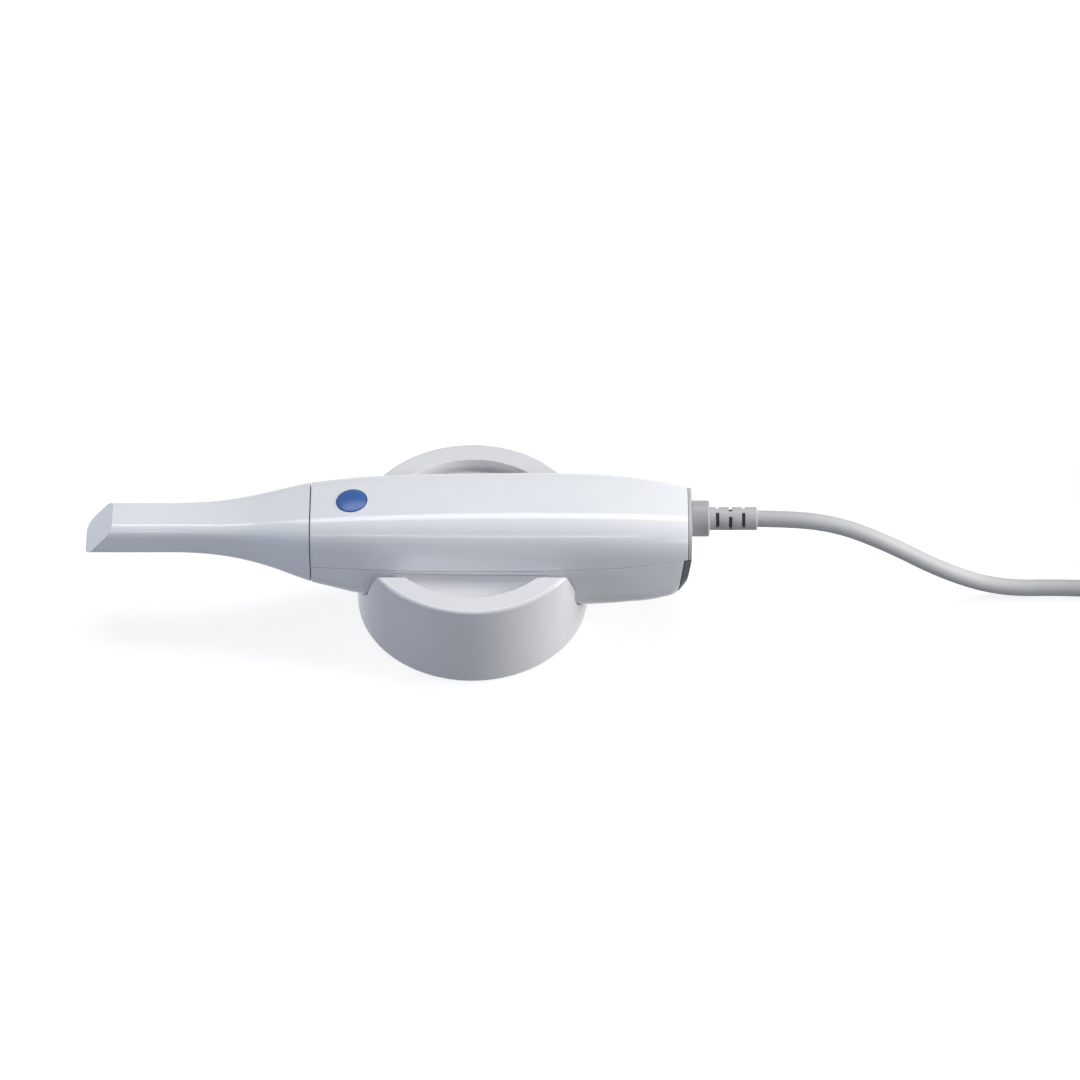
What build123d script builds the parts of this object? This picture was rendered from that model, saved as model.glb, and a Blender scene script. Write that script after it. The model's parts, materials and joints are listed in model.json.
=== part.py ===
from build123d import *
from functools import cache
from math import cos, pi, radians, sin, tan
import os

os.makedirs("parts", exist_ok=True)

# Driving dimensions, millimetres. The table is z = 0, the tip points along -x,
# and the cradle stands centred on the origin.

# Housing: where its ends and its main sections lie
seam_x = -66.7
rear_x = 91.2
seam_half_width = 18.0
seam_z_low = 22.8
seam_z_high = 57.2
seam_corner = 10.0
button_from_seam = 17.1
button_z = 58.9
grip_half_width = 22.0
grip_z_low = 10.6
grip_z_high = 60.8
grip_corner = 14.0
rear_half_width = 16.8
rear_z_low = 25.0
rear_z_high = 55.8
rear_corner = 11.6
shell_wall = 2.0
parting_z_front = 37.8
parting_z_rear = 41.0
parting_gap = 0.3
lip_thickness = 1.0
lip_height = 2.0
lip_root = 3.0
lip_gap = 0.15
button_x = seam_x + button_from_seam

# Tip sleeve, nose and their fit
tip_length = 94.1
tip_overrun = 1.0
flare_length = 55.1
straight_sections = 4
tip_half_width = 9.5
tip_z_low = 35.0
tip_z_high = 50.3
tip_corner = 4.5
tip_lean = 37.6
tip_wall = 1.4
seam_gap = 0.5
window_length = 14.0
window_width = 12.6
window_corner = 2.5
window_setback = 4.6
mirror_thickness = 1.2
mirror_gap = 0.1
nose_length = 48.0
nose_gap = 0.6
nose_wall = 1.6
plug_length = 7.5
plug_gap = 0.2
glass_thickness = 1.6
glass_setback = 0.6
seal_width = 2.0
seal_setback = 3.4
seal_depth = 0.7
running_gap = 0.3
latch_length = 10.0
latch_height = 6.0
latch_setback = 16.0
latch_depth = 0.5
tip_x = seam_x - tip_length
nose_x = seam_x - nose_length
plug_x = seam_x + plug_length

# Scan button, its switch and board
button_radius = 6.25
button_edge = 0.2
button_dome = 0.7
button_round = 0.3
button_tilt = 4.8
button_gap = 0.3
button_travel = 0.6
button_flange = 1.4
flange_gap = 0.6
button_flange_thickness = 1.0
button_stem_radius = 2.0
button_stem_length = 1.6
switch_size = 6.0
switch_height = 3.0
switch_play = 0.15
button_board_length = 18.0
button_board_width = 18.0
board_thickness = 1.2
post_radius = 1.8
post_inset = 2.2

# Optical bench and what it carries
bench_length = 57.0
bench_gap = 1.2
bench_half_width = 12.5
bench_z = 31.0
bench_thickness = 2.5
bench_post_radius = 3.0
bench_post_half_pitch = 8.0
bench_post_inset = 8.0
optic_z = 42.1
lens_half_pitch = 7.0
lens_radius = 5.8
lens_ring_radius = 6.4
lens_front_radius = 4.6
lens_length = 37.0
lens_setback = 1.0
lens_bore_radius = 3.6
lens_bore_depth = 4.0
saddle_thickness = 4.0
saddle_half_width = 14.0
saddle_gap = 0.05
engine_length = 18.0
engine_width = 12.2
engine_height = 16.5
engine_fin = 1.0
engine_fin_depth = 4.0
sensor_board_height = 17.0
sensor_can_length = 3.0
sensor_can_size = 9.0
bench_x = plug_x + bench_gap

# Main board and cooling
main_board_x = 8.0
main_board_length = 58.0
main_board_half_width = 14.5
main_board_z = 34.0
main_board_thickness = 1.6
board_post_radius = 3.0
board_post_inset = 4.5
board_screw_radius = 1.1
board_screw_head_radius = 2.1
board_screw_head = 1.3
board_screw_length = 7.0
chip_size = 15.0
chip_height = 1.6
chip_x = 30.0
memory_length = 9.0
memory_width = 6.0
memory_height = 1.0
memory_x = 48.0
memory_half_pitch = 6.5
socket_length = 6.0
socket_width = 12.0
socket_height = 4.5
socket_inset = 5.0
sink_length = 26.0
sink_width = 24.0
sink_base = 2.5
sink_height = 12.0
sink_fins = 8
sink_fin = 1.0
fan_x = 76.0
fan_z = 27.4
fan_size = 20.0
fan_depth = 8.0
fan_bore_radius = 9.2
fan_blade_radius = 8.8
fan_hub_radius = 4.3
fan_hub_length = 5.2
fan_pin_radius = 1.0
fan_pin_gap = 0.15
fan_plate = 1.6
fan_strut = 1.6
fan_blades = 7
fan_blade_chord = 5.4
fan_blade_thickness = 0.8
fan_blade_pitch = 38.0
fan_corner = 2.0
fan_rail = 2.0

# Shell screws
boss_radius = 2.8
boss_x_front = 2.0
boss_y_front = 15.6
boss_x_rear = 70.0
boss_y_rear = 13.6
screw_radius = 1.25
screw_gap = 0.1
screw_head_radius = 2.2
screw_head = 1.8
screw_head_z = 18.0
screw_top_z = 48.0

# Rear plate, vent and cable entry
plate_thickness = 1.3
plate_gap = 0.3
plate_lip = 2.6
vent_x_high = 88.3
vent_x_low = 85.2
vent_z_low = 14.0
vent_wall = 2.0
vent_slots = 5
vent_slot_height = 1.5
vent_slot_pitch = 2.9
vent_slot_width = 20.0
vent_slot_z = 26.6
cord_z = 48.2
collar_radius = 7.5
collar_length = 7.4
collar_round = 0.9
neck_radius = 4.6
neck_gap = 0.1
nut_radius = 6.0
nut_length = 3.0
nut_gap = 0.2
boot_radius = 4.8
boot_length = 19.8
boot_chamfer = 0.6
boot_slot = 1.4
boot_slot_pitch = 5.4
boot_slot_start = 3.3
boot_bridge = 2.4
boot_slot_turns = (178, 200, 178)
cable_radius = 3.5
cable_gap = 0.1
lead_radius = 2.0
arc_share = 0.45

# Cradle
cradle_radius = 48.3
cradle_z_low = 0.8
cradle_z_high = 42.8
cradle_wall = 3.0
rim_width = 9.3
rim_round = 1.4
recess_depth = 5.4
rest_gap = 0.3
trough_overrun = 1.0
notch_half_width_high = 28.3
notch_half_width_low = 22.4
notch_depth = 15.0
base_thickness = 2.5
base_gap = 0.4
pad_inset = 2.4
cradle_boss_radius = 3.5
cradle_boss_circle = 37.5
cradle_screw_radius = 1.4
cradle_screw_head_radius = 2.6
cradle_screw_head = 1.4
cradle_screw_length = 12.0

# Coil of spare cable and the plug
coil_x = 316.0
coil_y = 38.5
coil_radius = 38.4
coil_width = 21.4
coil_height = 20.7
coil_z = 0.9
coil_round = 3.4
tie_width = 9.0
tie_thickness = 0.6
tie_gap = 0.2
plug_width = 15.8
plug_height = 8.4
plug_body_length = 30.0
plug_round = 2.0
plug_sleeve_radius = 4.1
plug_sleeve_length = 9.0
plug_grooves = 3
plug_groove = 0.8
plug_groove_depth = 0.5
plug_groove_pitch = 1.8
plug_shell_width = 12.0
plug_shell_height = 4.5
plug_shell_length = 14.0
plug_shell_wall = 0.35
plug_hole = 2.4
plug_hole_pitch = 5.2
plug_hole_setback = 6.5
plug_tongue_height = 1.8

# Route of the cable: where it hangs and lies, and its tail from the coil to the plug
cable_points = [
    (98.6, 0, 48.2),
    (126, 0, 48.4),
    (150, 0, 45.5),
    (172, 0, 34),
    (198, 0.4, 15),
    (222, 1.4, 3.8),
    (250, 2.2, 3.6),
    (274, 0, 3.6),
    (295, -4.5, 3.6),
]
tail_points = [
    (317.3, 2.3, 17.9),
    (330.5, 6, 18.4),
    (341.7, 14.5, 20.8),
    (348.9, 23.9, 23.8),
    (352.6, 34.8, 25.8),
    (353, 45, 26),
]

# Sections of the housing: x, half width, lowest z, highest z, corner radius
seam_section = (seam_x, seam_half_width, seam_z_low, seam_z_high, seam_corner)
button_section = (button_x, 19.5, 17.7, button_z, 11.0)
housing_sections = (
    seam_section,
    tuple((front + back) / 2 for front, back in zip(seam_section, button_section)),
    button_section,
    (-20.0, 21.3, 12.6, 60.3, 13.0),
    (10.0, grip_half_width, grip_z_low, grip_z_high, grip_corner),
    (38.0, grip_half_width, grip_z_low, grip_z_high, grip_corner),
    (rear_x - 27.0, 20.8, 11.6, 59.6, 13.4),
    (rear_x - 13.0, 19.2, 12.8, 58.0, 12.8),
    (rear_x - 5.0, 17.9, 16.2, 56.7, 12.2),
    (rear_x, rear_half_width, rear_z_low, rear_z_high, rear_corner),
)

# Sections of the tip: its straight part, evenly divided, then its flare up to the seam
straight_step = (tip_length + tip_overrun - flare_length) / straight_sections
tip_sections = (
    *((tip_x - tip_overrun + step * straight_step, tip_half_width, tip_z_low, tip_z_high, tip_corner)
      for step in range(straight_sections + 1)),
    (seam_x - 34.0, 11.0, 33.5, 51.3, 5.2),
    (seam_x - 25.8, 12.3, 31.9, 52.4, 6.0),
    (seam_x - 17.3, 14.0, 29.4, 54.0, 7.2),
    (seam_x - 9.1, 16.0, 26.4, 55.6, 8.6),
    seam_section,
)


@cache
def skin(sections, grow=0.0):
    """Smooth solid through rounded rectangles, each grown on every side."""
    with BuildPart() as form:
        for x, half_width, z_low, z_high, corner in sections:
            with BuildSketch(Plane.YZ.offset(x)):
                with Locations((0, (z_low + z_high) / 2)):
                    RectangleRounded(2 * (half_width + grow), z_high - z_low + 2 * grow, corner + grow)
        loft()
    return form.part


def slab(solid, x_low, x_high):
    """The stretch of a solid between two values of x."""
    with BuildPart() as cut:
        add(solid)
        split(bisect_by=Plane.YZ.offset(x_low), keep=Keep.TOP)
        split(bisect_by=Plane.YZ.offset(x_high), keep=Keep.BOTTOM)
    return cut.part


def finish(piece, name):
    """Label one finished piece and write its file."""
    piece.part.label = name
    export_step(piece.part, f"parts/{name}.step")


# Planes shared by several pieces
end_plane = Plane(
    origin=(tip_x, 0, tip_z_low),
    x_dir=(0, 1, 0),
    z_dir=(-cos(radians(tip_lean)), 0, sin(radians(tip_lean))),
)
parting_rise = (parting_z_rear - parting_z_front) / (rear_x - seam_x)
parting_plane = Plane(
    origin=(seam_x, 0, parting_z_front),
    x_dir=(1, 0, parting_rise),
    z_dir=(-parting_rise, 0, 1),
)
vent_lean = (vent_x_high - vent_x_low) / (parting_z_rear - vent_z_low)
vent_plane = Plane(origin=(vent_x_low, 0, vent_z_low), x_dir=(0, 1, 0), z_dir=(1, 0, -vent_lean))
button_plane = Plane(
    origin=(button_x, 0, button_z),
    x_dir=(cos(radians(button_tilt)), 0, sin(radians(button_tilt))),
    z_dir=(-sin(radians(button_tilt)), 0, cos(radians(button_tilt))),
)
cord_plane = Plane(origin=(rear_x, 0, cord_z), x_dir=(0, 1, 0), z_dir=(1, 0, 0))

# Skins shared by several pieces
housing_outer = skin(housing_sections)
housing_inner = skin(housing_sections, -shell_wall)
post_limit = skin(housing_sections, -shell_wall / 2)
nose_inset = tip_wall + nose_gap
plug_inset = shell_wall + plug_gap

# Tip sleeve: slanted closed end, open rear end and a window on its underside
with BuildPart() as tip_bore:
    add(skin(tip_sections, -tip_wall))
    split(bisect_by=end_plane.offset(-tip_wall), keep=Keep.BOTTOM)

with BuildPart() as tip_sleeve:
    add(skin(tip_sections))
    split(bisect_by=end_plane, keep=Keep.BOTTOM)
    split(bisect_by=Plane.YZ.offset(seam_x - seam_gap), keep=Keep.BOTTOM)
    fillet(tip_sleeve.edges().group_by(Axis.X)[0], tip_wall / 2)
    add(tip_bore.part, mode=Mode.SUBTRACT)
    with BuildSketch(Plane.XY.offset(tip_z_low - tip_wall)):
        with Locations((tip_x + window_setback + window_length / 2, 0)):
            RectangleRounded(window_length, window_width, window_corner)
    extrude(amount=3 * tip_wall, mode=Mode.SUBTRACT)
finish(tip_sleeve, "tip_sleeve")

# Mirror on the inside of the slanted end
with BuildPart() as tip_mirror:
    add(skin(tip_sections, -tip_wall - mirror_gap))
    split(bisect_by=end_plane.offset(-tip_wall - mirror_gap), keep=Keep.BOTTOM)
    split(bisect_by=end_plane.offset(-tip_wall - mirror_gap - mirror_thickness), keep=Keep.TOP)
finish(tip_mirror, "tip_mirror")

# Nose that the tip slides over, with the plug that closes the front of the housing
seal_x = seam_x - seal_setback
latch_x = seam_x - latch_setback
with BuildPart() as seal_groove:
    add(slab(skin(tip_sections, -tip_wall), seal_x - seal_width, seal_x))
    add(skin(tip_sections, -nose_inset - seal_depth), mode=Mode.SUBTRACT)

with BuildPart() as latch_pocket:
    add(slab(skin(tip_sections, -tip_wall), latch_x - latch_length, latch_x))
    add(skin(tip_sections, -nose_inset - latch_depth), mode=Mode.SUBTRACT)
    with Locations((latch_x, 0, (tip_z_low + tip_z_high) / 2)):
        Box(2 * latch_length, 4 * seam_half_width, latch_height, mode=Mode.INTERSECT)

with BuildPart() as nose_tube:
    add(slab(skin(tip_sections, -nose_inset), nose_x, seam_x))
    add(slab(skin(housing_sections, -plug_inset), seam_x, plug_x))
    add(skin(tip_sections, -nose_inset - nose_wall), mode=Mode.SUBTRACT)
    add(slab(skin(housing_sections, -plug_inset - nose_wall), seam_x, plug_x), mode=Mode.SUBTRACT)
    add(seal_groove.part, mode=Mode.SUBTRACT)
    add(latch_pocket.part, mode=Mode.SUBTRACT)
finish(nose_tube, "nose_tube")

with BuildPart() as front_window:
    add(slab(skin(tip_sections, -nose_inset - nose_wall), nose_x + glass_setback,
             nose_x + glass_setback + glass_thickness))
finish(front_window, "front_window")

with BuildPart() as seal_ring:
    add(seal_groove.part)
    add(skin(tip_sections, -tip_wall - running_gap), mode=Mode.INTERSECT)
finish(seal_ring, "seal_ring")

with BuildPart() as tip_latches:
    add(latch_pocket.part)
    add(skin(tip_sections, -tip_wall - running_gap), mode=Mode.INTERSECT)
finish(tip_latches, "tip_latches")

# Depths below the top of the button, along its own axis
flange_depth = shell_wall + flange_gap
stem_depth = flange_depth + button_flange_thickness + button_stem_length
switch_depth = stem_depth + button_travel + switch_play
button_board_depth = switch_depth + switch_height
post_half_length = button_board_length / 2 - post_inset
post_half_width = button_board_width / 2 - post_inset
boss_places = [
    (boss_x_front, boss_y_front),
    (boss_x_front, -boss_y_front),
    (boss_x_rear, boss_y_rear),
    (boss_x_rear, -boss_y_rear),
]

# Posts of the upper shell: screw bosses, and four that carry the button board
with BuildPart() as upper_posts:
    with BuildSketch(Plane.XY.offset(parting_z_front)):
        with Locations(*boss_places):
            Circle(boss_radius)
    extrude(amount=2 * (grip_z_high - parting_z_front))
    with BuildSketch(button_plane.offset(-button_board_depth)):
        with GridLocations(2 * post_half_length, 2 * post_half_width, 2, 2):
            Circle(post_radius)
    extrude(amount=2 * button_board_depth)
    add(post_limit, mode=Mode.INTERSECT)
    with BuildSketch(Plane.XY.offset(parting_z_front)):
        with Locations(*boss_places):
            Circle(screw_radius + screw_gap)
    extrude(amount=screw_top_z - parting_z_front, mode=Mode.SUBTRACT)

# Upper shell, with the hole of the button
with BuildPart() as upper_shell:
    add(housing_outer)
    add(housing_inner, mode=Mode.SUBTRACT)
    split(bisect_by=parting_plane.offset(parting_gap / 2), keep=Keep.TOP)
    split(bisect_by=Plane.YZ.offset(rear_x - plate_thickness - plate_gap), keep=Keep.BOTTOM)
    add(upper_posts.part)
    with BuildSketch(button_plane.offset(-2 * flange_depth)):
        Circle(button_radius + button_gap)
    extrude(amount=3 * flange_depth, mode=Mode.SUBTRACT)
    split(bisect_by=parting_plane.offset(parting_gap / 2), keep=Keep.TOP)
finish(upper_shell, "upper_shell")

# Lower shell: inner lip at the parting line, posts for the bench, the board and the fan
bench_post_x = (bench_x + bench_post_inset, bench_x + bench_length - bench_post_inset)
board_post_x = (main_board_x + board_post_inset, main_board_x + main_board_length - board_post_inset)
board_post_y = main_board_half_width - board_post_inset
bench_posts = [(x, y) for x in bench_post_x for y in (bench_post_half_pitch, -bench_post_half_pitch)]
board_posts = [(x, y) for x in board_post_x for y in (board_post_y, -board_post_y)]
fan_z_low = fan_z - fan_size / 2
fan_rails = [(fan_x + fan_depth / 2, y) for y in (fan_size / 2 - fan_rail, fan_rail - fan_size / 2)]

with BuildPart() as lip_root_band:
    add(slab(post_limit, plug_x + plug_gap, rear_x))
    split(bisect_by=parting_plane.offset(-parting_gap), keep=Keep.BOTTOM)

with BuildPart() as lower_lip:
    add(slab(skin(housing_sections, -shell_wall - lip_gap), plug_x + plug_gap, rear_x))
    add(lip_root_band.part)
    add(skin(housing_sections, -shell_wall - lip_gap - lip_thickness), mode=Mode.SUBTRACT)
    split(bisect_by=parting_plane.offset(lip_height), keep=Keep.BOTTOM)
    split(bisect_by=parting_plane.offset(-lip_root), keep=Keep.TOP)

with BuildPart() as lower_posts:
    with BuildSketch():
        with Locations(*bench_posts):
            Circle(bench_post_radius)
    extrude(amount=bench_z)
    with BuildSketch():
        with Locations(*board_posts):
            Circle(board_post_radius)
    extrude(amount=main_board_z)
    with BuildSketch():
        with Locations(*fan_rails):
            Rectangle(fan_depth, fan_rail)
    extrude(amount=fan_z_low)
    with BuildSketch():
        with Locations(*boss_places):
            Circle(boss_radius)
    extrude(amount=2 * parting_z_rear)
    add(post_limit, mode=Mode.INTERSECT)
    split(bisect_by=parting_plane.offset(-parting_gap / 2), keep=Keep.BOTTOM)

with BuildPart() as lower_shell:
    add(housing_outer)
    add(housing_inner, mode=Mode.SUBTRACT)
    split(bisect_by=parting_plane.offset(-parting_gap / 2), keep=Keep.BOTTOM)
    add(lower_posts.part)
    add(lower_lip.part)
    with BuildSketch():
        with Locations(*boss_places):
            Circle(screw_radius + screw_gap)
    extrude(amount=2 * parting_z_rear, mode=Mode.SUBTRACT)
    with BuildSketch():
        with Locations(*boss_places):
            Circle(screw_head_radius + screw_gap)
    extrude(amount=screw_head_z, mode=Mode.SUBTRACT)
    with BuildSketch(Plane.XY.offset(main_board_z - board_screw_length)):
        with Locations(*board_posts):
            Circle(board_screw_radius + screw_gap)
    extrude(amount=board_screw_length, mode=Mode.SUBTRACT)
    split(bisect_by=vent_plane.offset(-plate_gap), keep=Keep.BOTTOM)
finish(lower_shell, "lower_shell")

# Rear plate: the upper part of the rear end, with a lip inside the upper shell
plate_x = rear_x - plate_thickness
with BuildPart() as plate_lip_ring:
    add(slab(skin(housing_sections, -shell_wall - lip_gap), plate_x - plate_gap - plate_lip, plate_x))
    add(skin(housing_sections, -shell_wall - lip_gap - lip_thickness), mode=Mode.SUBTRACT)
    split(bisect_by=parting_plane.offset(lip_height + parting_gap), keep=Keep.TOP)
    with BuildSketch(cord_plane.offset(-plate_thickness - plate_gap - plate_lip)):
        Circle(nut_radius + nut_gap)
    extrude(amount=plate_gap + plate_lip, mode=Mode.SUBTRACT)

with BuildPart() as rear_plate:
    add(slab(housing_outer, plate_x, rear_x))
    split(bisect_by=parting_plane.offset(parting_gap / 2), keep=Keep.TOP)
    add(plate_lip_ring.part)
    with BuildSketch(cord_plane.offset(-plate_lip - plate_thickness - plate_gap)):
        Circle(neck_radius + neck_gap)
    extrude(amount=2 * plate_lip + plate_thickness, mode=Mode.SUBTRACT)
finish(rear_plate, "rear_plate")

# Rear vent: the lower part of the rear end, hollow, with slots for the outgoing air
with BuildPart() as vent_hollow:
    add(slab(housing_inner, vent_x_low - shell_wall, rear_x - vent_wall))

with BuildPart() as rear_vent:
    add(housing_outer)
    split(bisect_by=vent_plane, keep=Keep.TOP)
    split(bisect_by=parting_plane.offset(-parting_gap / 2), keep=Keep.BOTTOM)
    add(vent_hollow.part, mode=Mode.SUBTRACT)
    with BuildSketch(Plane.YZ.offset(vent_x_low)):
        with Locations((0, vent_slot_z + vent_slot_pitch * (vent_slots - 1) / 2)):
            with GridLocations(1, vent_slot_pitch, 1, vent_slots):
                SlotOverall(vent_slot_width, vent_slot_height)
    extrude(amount=rear_x - vent_x_low, mode=Mode.SUBTRACT)
finish(rear_vent, "rear_vent")

# Scan button: domed cap, flange under the shell and stem
button_top = button_edge + button_dome
dome_radius = (button_radius ** 2 + button_dome ** 2) / (2 * button_dome)
with BuildPart() as scan_button:
    with BuildSketch(button_plane.offset(-flange_depth)):
        Circle(button_radius)
    extrude(amount=flange_depth + button_top)
    with Locations(button_plane.offset(button_top - dome_radius)):
        Sphere(dome_radius, rotation=(90, 0, 0), mode=Mode.INTERSECT)
    fillet(scan_button.edges().filter_by(lambda edge: edge.is_closed).sort_by(Axis.Z)[-1], button_round)
    with BuildSketch(button_plane.offset(-flange_depth - button_flange_thickness)):
        Circle(button_radius + button_flange)
    extrude(amount=button_flange_thickness)
    with BuildSketch(button_plane.offset(-stem_depth)):
        Circle(button_stem_radius)
    extrude(amount=button_stem_length)
finish(scan_button, "scan_button")

with BuildPart() as tact_switch:
    with BuildSketch(button_plane.offset(-button_board_depth)):
        Rectangle(switch_size, switch_size)
    extrude(amount=switch_height / 2)
    with BuildSketch(button_plane.offset(-button_board_depth)):
        Circle(switch_size / 4)
    extrude(amount=switch_height)
finish(tact_switch, "tact_switch")

with BuildPart() as button_board:
    with BuildSketch(button_plane.offset(-button_board_depth - board_thickness)):
        RectangleRounded(button_board_length, button_board_width, post_inset / 2)
        with GridLocations(2 * post_half_length, 2 * post_half_width, 2, 2):
            Circle(board_screw_radius, mode=Mode.SUBTRACT)
    extrude(amount=board_thickness)
finish(button_board, "button_board")

# Optical bench: plate with two cross walls that cradle the lens barrels
bench_top = bench_z + bench_thickness
lens_x = bench_x + lens_setback
saddle_x = (lens_x + lens_length / 4, lens_x + lens_length * 3 / 4)
engine_x = lens_x + lens_length
with BuildPart() as optical_bench:
    with BuildSketch(Plane.XY.offset(bench_z)):
        with Locations((bench_x + bench_length / 2, 0)):
            RectangleRounded(bench_length, 2 * bench_half_width, bench_post_radius)
        with Locations(*bench_posts):
            Circle(board_screw_radius + screw_gap, mode=Mode.SUBTRACT)
    extrude(amount=bench_thickness)
    for x in saddle_x:
        with BuildSketch(Plane.YZ.offset(x - saddle_thickness / 2)):
            with Locations((0, (bench_top + optic_z) / 2)):
                Rectangle(2 * saddle_half_width, optic_z - bench_top)
            with Locations((lens_half_pitch, optic_z), (-lens_half_pitch, optic_z)):
                Circle(lens_radius + saddle_gap, mode=Mode.SUBTRACT)
        extrude(amount=saddle_thickness)
finish(optical_bench, "optical_bench")


def lens_barrel(side):
    """Stepped barrel on the bench, hollow at its front, on one side of the centre line."""
    barrel_start = (lens_x, side * lens_half_pitch, optic_z)
    barrel_plane = Plane(origin=barrel_start, x_dir=(1, 0, 0), z_dir=(0, -1, 0))
    ring_x = lens_length / 2
    with BuildPart() as barrel:
        with BuildSketch(barrel_plane):
            with BuildLine():
                Polyline(
                    (lens_bore_depth, 0),
                    (lens_bore_depth, lens_bore_radius),
                    (0, lens_front_radius),
                    (lens_bore_depth, lens_front_radius),
                    (lens_bore_depth, lens_radius),
                    (ring_x - saddle_thickness, lens_radius),
                    (ring_x - saddle_thickness, lens_ring_radius),
                    (ring_x + saddle_thickness, lens_ring_radius),
                    (ring_x + saddle_thickness, lens_radius),
                    (lens_length, lens_radius),
                    (lens_length, 0),
                    close=True,
                )
            make_face()
        revolve(axis=Axis(barrel_plane.origin, (1, 0, 0)))
    return barrel


projector_lens = lens_barrel(1)
finish(projector_lens, "projector_lens")
camera_lens = lens_barrel(-1)
finish(camera_lens, "camera_lens")

# Projector light engine, with fins on its top
with BuildPart() as projector_engine:
    with Locations((engine_x + engine_length / 2, lens_half_pitch, bench_top + engine_height / 2)):
        Box(engine_length, engine_width, engine_height)
    with Locations((engine_x + engine_length / 2, lens_half_pitch, bench_top + engine_height)):
        with GridLocations(3 * engine_fin, 1, int(engine_length / (3 * engine_fin)), 1):
            Box(1.5 * engine_fin, engine_width, 2 * engine_fin_depth, mode=Mode.SUBTRACT)
finish(projector_engine, "projector_engine")

# Image sensor: can behind the camera lens, on an upright board
with BuildPart() as image_sensor:
    with Locations((engine_x + sensor_can_length / 2, -lens_half_pitch, optic_z)):
        Box(sensor_can_length, sensor_can_size, sensor_can_size)
    with Locations((engine_x + sensor_can_length + board_thickness / 2, -lens_half_pitch,
                    bench_top + sensor_board_height / 2)):
        Box(board_thickness, engine_width, sensor_board_height)
finish(image_sensor, "image_sensor")

# Main board, what is soldered to it, its screws and the heat sink
board_top = main_board_z + main_board_thickness
with BuildPart() as main_board:
    with BuildSketch(Plane.XY.offset(main_board_z)):
        with Locations((main_board_x + main_board_length / 2, 0)):
            RectangleRounded(main_board_length, 2 * main_board_half_width, board_post_radius)
        with Locations(*board_posts):
            Circle(board_screw_radius + screw_gap, mode=Mode.SUBTRACT)
    extrude(amount=main_board_thickness)
finish(main_board, "main_board")

socket_x = main_board_x + main_board_length - socket_inset
with BuildPart() as board_chips:
    with Locations((chip_x, 0, board_top + chip_height / 2)):
        Box(chip_size, chip_size, chip_height)
    with Locations((memory_x, memory_half_pitch, board_top + memory_height / 2),
                   (memory_x, -memory_half_pitch, board_top + memory_height / 2)):
        Box(memory_length, memory_width, memory_height)
    with Locations((socket_x, 0, board_top + socket_height / 2)):
        Box(socket_length, socket_width, socket_height)
finish(board_chips, "board_chips")

with BuildPart() as board_screws:
    for x, y in board_posts:
        with BuildSketch(Plane.XY.offset(board_top - board_screw_length)):
            with Locations((x, y)):
                Circle(board_screw_radius)
        extrude(amount=board_screw_length)
        with BuildSketch(Plane.XY.offset(board_top)):
            with Locations((x, y)):
                Circle(board_screw_head_radius)
        extrude(amount=board_screw_head)
finish(board_screws, "board_screws")

sink_z = board_top + chip_height
fin_pitch = (sink_width - sink_fin) / (sink_fins - 1)
with BuildPart() as heat_sink:
    with Locations((chip_x, 0, sink_z + sink_base / 2)):
        Box(sink_length, sink_width, sink_base)
    with Locations((chip_x, 0, sink_z + sink_height / 2)):
        with GridLocations(1, fin_pitch, 1, sink_fins):
            Box(sink_length, sink_fin, sink_height)
finish(heat_sink, "heat_sink")

# Cooling fan: square frame with a hub on struts, and a rotor on its pin
fan_plane = Plane(origin=(fan_x, 0, fan_z), x_dir=(0, 1, 0), z_dir=(1, 0, 0))
rotor_start = fan_depth - fan_plate - running_gap - fan_hub_length
pin_start = rotor_start + fan_blade_thickness + fan_pin_gap
with BuildPart(fan_plane) as fan_frame:
    with BuildSketch(fan_plane):
        RectangleRounded(fan_size, fan_size, fan_corner)
        Circle(fan_bore_radius, mode=Mode.SUBTRACT)
    extrude(amount=fan_depth)
    with BuildSketch(fan_plane.offset(fan_depth - fan_plate)):
        Circle(fan_hub_radius)
        with PolarLocations(fan_bore_radius / 2, 3, start_angle=90):
            Rectangle(fan_bore_radius + fan_strut, fan_strut)
    extrude(amount=fan_plate)
    with BuildSketch(fan_plane.offset(pin_start)):
        Circle(fan_pin_radius)
    extrude(amount=fan_depth - fan_plate - pin_start)
finish(fan_frame, "fan_frame")

with BuildPart() as fan_rotor:
    with Locations(fan_plane.offset(rotor_start + fan_hub_length / 2)):
        with PolarLocations((fan_hub_radius + fan_blade_radius) / 2, fan_blades):
            Box(fan_blade_radius, fan_blade_chord, fan_blade_thickness, rotation=(fan_blade_pitch, 0, 0))
        Cylinder(fan_blade_radius, fan_hub_length, mode=Mode.INTERSECT)
        Cylinder(fan_hub_radius, fan_hub_length)
    with BuildSketch(fan_plane.offset(rotor_start + fan_blade_thickness)):
        Circle(fan_pin_radius + fan_pin_gap)
    extrude(amount=fan_hub_length, mode=Mode.SUBTRACT)
finish(fan_rotor, "fan_rotor")

# Screws that draw the shells together, from below
with BuildPart() as shell_screws:
    for x, y in boss_places:
        with BuildSketch(Plane.XY.offset(screw_head_z - screw_head)):
            with Locations((x, y)):
                Circle(screw_head_radius)
        extrude(amount=screw_head)
        with BuildSketch(Plane.XY.offset(screw_head_z)):
            with Locations((x, y)):
                Circle(screw_radius)
        extrude(amount=screw_top_z - screw_gap - screw_head_z)
finish(shell_screws, "shell_screws")

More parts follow.
